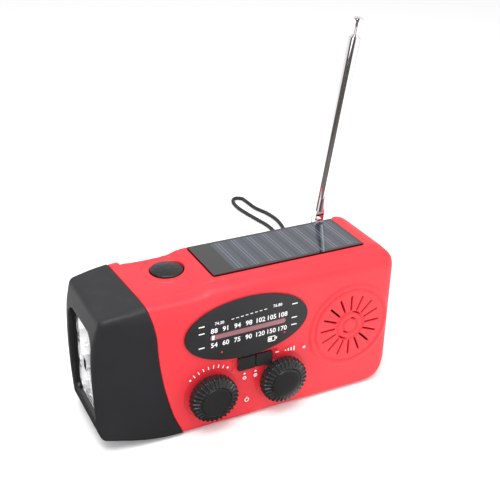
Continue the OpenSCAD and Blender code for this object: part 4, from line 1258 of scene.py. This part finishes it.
@dataclass
class Knob:
    """A fluted knob with a dull flat face."""

    name: str
    body: str
    x: float
    z: float = 15.7
    back_y: float = -20.55
    radius: float = 9.45
    flutes: int = 30
    profile: tuple[Four, ...] = (
        (0.5, 0, 0, 0), (0, 0.5, 0.35, 0), (0, 2.6, 0.5, 0), (0, 3.3, 0.55, 0.1), (0.15, 3.75, 0.55, 0.2),
        (0.55, 4.05, 0.45, 0.35), (1.3, 4.3, 0.2, 0.45), (2.2, 4.55, 0, 0.45), (2.9, 4.72, 0, 0.3),
        (3.15, 4.78, 0, 0.06), (3.3, 4.62, 0, 0), (3.55, 4.6, 0, 0), (3.7, 4.95, 0, 0), (3.9, 5.0, 0, 0),
        (5.5, 5.0, 0, 0))

    def build(self) -> Piece:
        """Builds the knob.

        Returns:
            The piece.
        """
        rows = [(self.radius - inset, *rest) for inset, *rest in self.profile]
        made = turned(self.name, rows, (self.x, self.back_y, self.z), (0, -1, 0), self.flutes,
                      self.flutes * 12)
        return settle(made, self.body, KNOB, "control_black", f"{self.body}_knob")


@dataclass
class LightButton:
    """The domed, mottled button on the deck."""

    x: float = -26.6
    y: float = 4.7
    radius: float = 6.3
    top_z: float = 59.2
    foot: tuple[Pair, ...] = ((6.9, -5.0), (7.3, -4.95), (7.3, -4.2))
    side: Pair = (-4.1, -1.5)
    edge: Pair = (0.7, 0.75)
    dome_high: float = 0.75

    def build(self) -> Piece:
        """Builds the dome over the button's plunger.

        Returns:
            The piece.
        """
        low, high = self.side
        reach, rise = self.edge
        flat = self.radius - reach
        rows = [*self.foot, (self.radius, low), (self.radius, high)]
        for i in range(12):
            a = math.radians(90 * i / 12)
            rows.append((flat + reach * math.cos(a), high + rise * math.sin(a)))
        for i in range(1, 14):
            r = flat * (1 - i / 14)
            rows.append((r, high + rise + self.dome_high * (1 - (r / flat) ** 2)))
        made = turned("button_dome", rows, (self.x, self.y, self.top_z), (0, 0, 1), 0, 72)
        return settle(made, "light_button", MOTTLED, "control_black", "light_button")


@dataclass
class Marks:
    """Flat printed marks gathered into one piece, on a plane that faces the front."""

    plane_y: float
    points: list[Point] = field(default_factory=list)
    faces: list[tuple[int, ...]] = field(default_factory=list)
    boldness: float = 0.018

    def shape(self, outline: Outline) -> None:
        """Prints a filled outline, x and z."""
        self.faces.append(tuple(range(len(self.points), len(self.points) + len(outline))))
        self.points += [(u, self.plane_y, v) for u, v in outline]

    def bars(self, *bars: Four) -> None:
        """Prints bars, each given by its centre, its width and its height."""
        for x, z, w, h in bars:
            self.shape([(x + s * w / 2, z + t * h / 2) for s, t in ((-1, -1), (1, -1), (1, 1), (-1, 1))])

    def ring(self, x: float, z: float, outer: float, inner: float, start: float = 0,
             end: float = 360) -> None:
        """Prints a ring or a part of one.

        Args:
            x: Its centre's first coordinate.
            z: Its centre's second coordinate.
            outer: Its outer radius.
            inner: Its inner radius.
            start: The angle it starts at, in degrees.
            end: The angle it ends at.
        """
        count = max(4, int((end - start) / 15))
        for i in range(count):
            a, b = (math.radians(start + (end - start) * (i + k) / count) for k in (0, 1))
            corners = ((inner, a), (outer, a), (outer, b), (inner, b))
            self.shape([(x + r * math.cos(t), z + r * math.sin(t)) for r, t in corners])

    def number(self, text: str, x: float, z: float, size: float) -> None:
        """Prints a plain number.

        Args:
            text: Its figures.
            x: Its centre's first coordinate.
            z: Its centre's second coordinate.
            size: Its height.
        """
        curve = bpy.data.curves.new("figure", "FONT")
        curve.body, curve.size = text, size
        curve.align_x, curve.align_y = "CENTER", "CENTER"
        curve.resolution_u, curve.offset = 3, self.boldness * size
        there = bpy.data.objects.new("figure", curve)
        bpy.context.scene.collection.objects.link(there)
        graph = bpy.context.evaluated_depsgraph_get()
        data = bpy.data.meshes.new_from_object(there.evaluated_get(graph))
        first = len(self.points)
        self.points += [(x + v.co.x, self.plane_y, z + v.co.y) for v in data.vertices]
        self.faces += [tuple(first + i for i in face.vertices) for face in data.polygons]
        bpy.data.objects.remove(there)
        bpy.data.curves.remove(curve)
        bpy.data.meshes.remove(data)

    def build(self, name: str, finish: Finish, body: str = "case",
              slot: str = "charcoal_plastic") -> Piece:
        """Makes the marks into a piece on a body."""
        return settle(piece_of(name, self.points, self.faces, None), body, finish, slot)


@dataclass
class Dial:
    """The dial's figures, and the marks on the face."""

    centre_x: float = -4.7
    top: tuple[int, ...] = (88, 91, 94, 98, 102, 105, 108)
    low: tuple[int, ...] = (54, 60, 75, 90, 120, 150, 170)
    rows_z: Pair = (43.3, 37.3)
    pitch: float = 4.65
    figure: float = 2.75
    small: float = 1.7
    small_at: tuple[tuple[str, float, float], ...] = (("74.20", -16.6, 46.2), ("76.80", 7.0, 47.9))
    left_z: tuple[float, ...] = (46.2, 43.3, 37.3)
    right_z: tuple[float, ...] = (46.9, 41.0, 37.9)
    cell: tuple[Four, ...] = ((5.0, 34.9, 3.0, 0.35), (5.0, 32.9, 3.0, 0.35), (3.6, 33.9, 0.35, 2.0),
                              (6.4, 33.9, 0.35, 2.0), (7.0, 33.9, 0.5, 1.0), (4.5, 33.9, 1.2, 1.2))
    face_y: float = -20.27
    tune: Pair = (-19.6, 15.7)
    tune_r: float = 12.3
    minus_plus: tuple[Four, ...] = ((7.6, 27.3, 1.5, 0.35), (19.4, 26.4, 1.5, 0.35), (19.4, 26.4, 0.35, 1.5))
    bands_x: Point = (-6.0, -1.4, 3.2)
    bands_z: Pair = (19.4, 21.0)
    power: Pair = (-4.8, 9.0)
    dots: tuple[Pair, ...] = ((-15.5, 33.6), (10.4, 35.4))
    needle: Four = (-19.0, 40.5, 1.0, 1.9)
    needle_back: float = 0.12

    def figures(self) -> Marks:
        """Prints the dial's rows of figures and its small cell sign.

        Returns:
            The marks.
        """
        white = Marks(self.face_y)
        x0 = self.centre_x - self.pitch * 3
        for i, pair in enumerate(zip(self.top, self.low)):
            for figure, z in zip(pair, self.rows_z):
                white.number(str(figure), x0 + i * self.pitch, z, self.figure)
        white.bars(*((-11.3 + i * 1.9, 46.6 + 0.12 * i, 1.1, 0.3) for i in range(8)))
        for text, x, z in self.small_at:
            white.number(text, x, z, self.small)
        for x, places in ((-23.6, self.left_z), (14.3, self.right_z)):
            white.bars(*((x, z, 2.3, 0.45) for z in places))
        white.bars(*self.cell)
        return white

    def signs(self) -> Marks:
        """Prints the marks round the knobs and the slider.

        Returns:
            The marks.
        """
        marks = Marks(self.face_y)
        for i in range(9):
            a = math.radians(58 + 9.5 * i)
            u, v = math.cos(a), math.sin(a)
            x, z = self.tune[0] + self.tune_r * u, self.tune[1] + self.tune_r * v
            if i in (0, 8):
                marks.ring(x, z, 0.42, 0.0)
            else:
                marks.shape([(x + s * 0.17 * v - t * 0.7 * u, z - s * 0.17 * u - t * 0.7 * v)
                             for s, t in ((1, -1), (1, 1), (-1, 1), (-1, -1))])
        marks.bars(*((11.2 + i * 1.25, 27.1, 0.5, 0.7 + 0.45 * i) for i in range(4)))
        marks.bars(*self.minus_plus)
        z, tip = self.bands_z
        for i, x in enumerate(self.bands_x):
            marks.ring(x, z, 0.75, 0.45)
            marks.bars((x, z, 0.35, 0.35 + 0.3 * i))
            marks.shape([(x - 0.6, tip), (x + 0.6, tip), (x, tip + 0.8)])
        x, z = self.power
        marks.ring(x, z, 0.95, 0.62, 115, 425)
        marks.bars((x, z + 0.9, 0.33, 1.1))
        return marks

    def build(self) -> list[Piece]:
        """Prints the figures, the signs, the needle and the red dots.

        Returns:
            The pieces.
        """
        red, needle = Marks(self.face_y), Marks(self.face_y + self.needle_back)
        for dot in self.dots:
            red.ring(*dot, 0.36, 0.0)
        needle.bars(self.needle)
        return [self.figures().build("dial_print", PRINT), self.signs().build("face_print", PRINT),
                needle.build("dial_needle", POINTER, "pointer", "cream_plastic"),
                red.build("dial_dots", RED_DOT)]


def frame_loop(x: float, size: Pair, r: float, centre_z: float) -> list[Point]:
    """Gives a loop with round corners in a plane of constant x.

    Args:
        x: The plane.
        size: The loop's width and height.
        r: Radius of its corners.
        centre_z: Height of its middle.

    Returns:
        Its points.
    """
    loop = []
    for k, (sy, sz) in enumerate(((1, 1), (-1, 1), (-1, -1), (1, -1))):
        centre = (sy * (size[0] / 2 - r), centre_z + sz * (size[1] / 2 - r))
        loop += [(x, u, v) for u, v in arc(centre, r, 90 * k, 90 * k + 90, 8)]
    return loop


def lofted(name: str, loops: list[list[Point]], smooth: float = 35.0) -> Piece:
    """Makes a piece whose skin runs through loops of equally many points."""
    faces = skin_faces(len(loops), len(loops[0]), False)
    return piece_of(name, [p for loop in loops for p in loop], faces, smooth)


@dataclass
class Lamp:
    """The lamp: its black tunnel, domed lens and faceted mirror with three cups."""

    front_x: float = -59.6
    deep: float = 6.4
    centre_z: float = 28.8
    pitch: float = 11.3
    half: Pair = (11.5, 5.66)
    sectors: int = 18
    rings: tuple[Pair, ...] = ((1.0, 0.12), (0.93, 0.5), (0.8, 0.66), (0.64, 0.8), (0.46, 0.92), (0.26, 1.0))
    lip: float = 0.25
    walls: tuple[Point, ...] = (
        (-60.6, 27.4, 39.4), (-61.2, 26.0, 38.0), (-61.2, 25.1, 37.1), (-60.9, 24.9, 36.9),
        (-59.9, 24.0, 35.8), (-59.7, 23.4, 35.2), (-59.7, 22.9, 34.6), (-58.6, 22.9, 34.6),
        (-56.2, 24.0, 36.0), (-60.2, 27.0, 39.0))
    wall_corner: float = 4.2
    glass: Point = (23.3, 35.1, 4.0)
    domes: tuple[Pair, ...] = ((-60.2, 0.9), (-59.6, 0.6))

    def tunnel(self) -> Piece:
        """Builds the black wall between the bezel and the mirror.

        Returns:
            The piece.
        """
        made = lofted("lamp_tunnel", [frame_loop(x, (w, h), self.wall_corner, self.centre_z)
                                      for x, w, h in self.walls])
        return settle(made, "case", GLOSS, "gloss_black", "lens_frame")

    def lens(self) -> Piece:
        """Builds the thin domed lens.

        Returns:
            The piece.
        """
        shares = [k / 8 for k in range(1, 9)]
        width, height, corner = self.glass
        skin = [frame_loop(x - bulge * (1 - s * s), (width * s, height * s), corner * s, self.centre_z)
                for (x, bulge), way in zip(self.domes, (shares, shares[::-1])) for s in way]
        return settle(lofted("lamp_lens", skin, 50.0), "case", LENS, "clear_lens", "lens")

    def mirror(self) -> Piece:
        """Builds the mirror's three cups, with a lip and facets that turn from ring to ring.

        Returns:
            The piece.
        """
        points, faces = [], []
        n = self.sectors
        for cup in (-1, 0, 1):
            first = len(points)
            zc = self.centre_z + cup * self.pitch
            for j, (t, square) in enumerate(self.rings):
                cupped = self.deep * (1 - t * t) / (1 - self.rings[-1][0] ** 2)
                depth = self.lip * j if j < 2 else cupped
                for i in range(n):
                    a = math.tau * (i + (0.5 * (j % 2) if j > 1 else 0)) / n
                    c, s = math.cos(a), math.sin(a)
                    y = self.half[0] * t * math.copysign(abs(c) ** square, c)
                    z = self.half[1] * t * math.copysign(abs(s) ** square, s)
                    points.append((self.front_x + depth, y, zc + z))
            for j in range(len(self.rings) - 1):
                for i in range(n):
                    k, m = (i + 1) % n, (i - 1) % n
                    a, b = first + j * n, first + (j + 1) * n
                    if j < 1:
                        faces.append((a + i, b + i, b + k, a + k))
                    elif j % 2:
                        faces += [(a + i, b + i, a + k), (a + k, b + i, b + k)]
                    else:
                        faces += [(a + i, b + m, b + i), (a + i, b + i, a + k)]
            faces.append(tuple(range(len(points) - n, len(points))))
        made = piece_of("lamp_mirror", points, faces, None)
        return settle(made, "case", MIRROR, "reflector", "reflector")

    def build(self) -> list[Piece]:
        """Builds the mirror, the tunnel and the lens."""
        return [self.mirror(), self.tunnel(), self.lens()]


@dataclass
class Mast:
    """The antenna's tip rod with its funnel cap."""

    pivot: Point = (45.6, 18.2, 58.2)
    lean: float = 8.8
    rod: tuple[Pair, ...] = ((0.55, 14.4), (0.8, 14.5))
    cap_from: float = 80.0
    cap: tuple[Pair, ...] = ((0.8, 0), (1.1, 0.1), (1.25, 0.35), (1.25, 1.3), (1.45, 1.9), (1.95, 2.7),
                             (1.98, 3.1), (1.85, 3.5), (1.4, 3.8), (0.6, 3.97))

    def build(self) -> Piece:
        """Builds the tip.

        Returns:
            The piece.
        """
        a = math.radians(self.lean)
        rows = [*self.rod, *((r, self.cap_from + high) for r, high in self.cap)]
        made = turned("mast_cap", rows, self.pivot, (math.sin(a), 0, math.cos(a)), 0, 40)
        return settle(made, "mast_tip", CHROME, "chrome", "antenna_tip")


@dataclass
class Dressing:
    """Gives every CAD node that is shown its finish, and softens its edges."""

    finishes: tuple[tuple[Finish, str], ...] = (
        (DIODE, "lamp_diodes"), (SOLAR, "solar_panel"), (DIAL, "dial_panel"), (WINDOW, "dial_window"),
        (POINTER, "dial_pointer"), (PAPER, "speaker_cone"), (CELL_WRAP, "battery"), (BRASS, "crank_bush"),
        (FERRITE, "ferrite_rod"), (COPPER, "ferrite_coil dynamo_rotor"), (RUBBER, "port_cover"),
        (CREAM, "tuning_capacitor drive_gear idler_gear"), (CHARCOAL, "crank_hub crank_arm"),
        (BOARD, "lamp_board button_bracket main_board socket_board"),
        (BLACK, "button_switch band_slider board_parts crank_grip"),
        (CHROME, "antenna_base antenna_tube_1 antenna_tube_2 antenna_tube_3 antenna_tube_4"),
        (STEEL, "button_spring tuning_shaft volume_shaft volume_pot band_switch speaker_basket"),
        (STEEL, "speaker_magnet crank_shaft arm_pin grip_spindle grip_pin idler_pin gear_plate"),
        (STEEL, "dynamo_housing antenna_pin usb_socket charge_socket case_screws"))
    softened: dict[str, float] = field(default_factory=lambda: {
        "solar_panel": 0.25, "dial_panel": 0.15, "band_slider": 0.25, "crank_arm": 0.5, "crank_hub": 0.35,
        "crank_grip": 0.2, "port_cover": 0.3, "antenna_base": 0.15, "gear_plate": 0.15,
        "dynamo_housing": 0.2, "usb_socket": 0.2, "charge_socket": 0.2, "battery": 0.6})

    def build(self, nodes: dict[str, Piece]) -> None:
        """Dresses the nodes.

        Args:
            nodes: The frame's nodes.
        """
        for finish, names in self.finishes:
            for name in names.split():
                finish.paint(nodes[name])
        for name, width in self.softened.items():
            soft = nodes[name].modifiers.new("soft edges", "BEVEL")
            soft.width, soft.segments, soft.harden_normals = width * MM, 3, True
            soft.limit_method, soft.angle_limit = "ANGLE", math.radians(35)


def main() -> None:
    """Makes the scene, piece by piece."""
    logging.basicConfig(level=logging.INFO, format="%(message)s")
    studio = Studio()
    studio.camera()
    LOG.info("strap %s", Strap().build().name)
    studio.build()
    form = CasingForm(CASING)
    pieces = [shell.build(form) for shell in (FrontShell(), RearCover(), HeadBezel())]
    pieces += [part.build() for part in (Knob("tuning_dial_knob", "tuning", -19.6),
                                         Knob("volume_dial_knob", "volume", 9.6), LightButton(), Mast())]
    for piece in pieces + Lamp().build() + Dial().build():
        LOG.info("piece %s, %d faces", piece.name, len(piece.data.polygons))
    Dressing().build(frame["nodes"])
    LOG.info("dressed the CAD nodes")


if __name__ == "__main__":
    main()
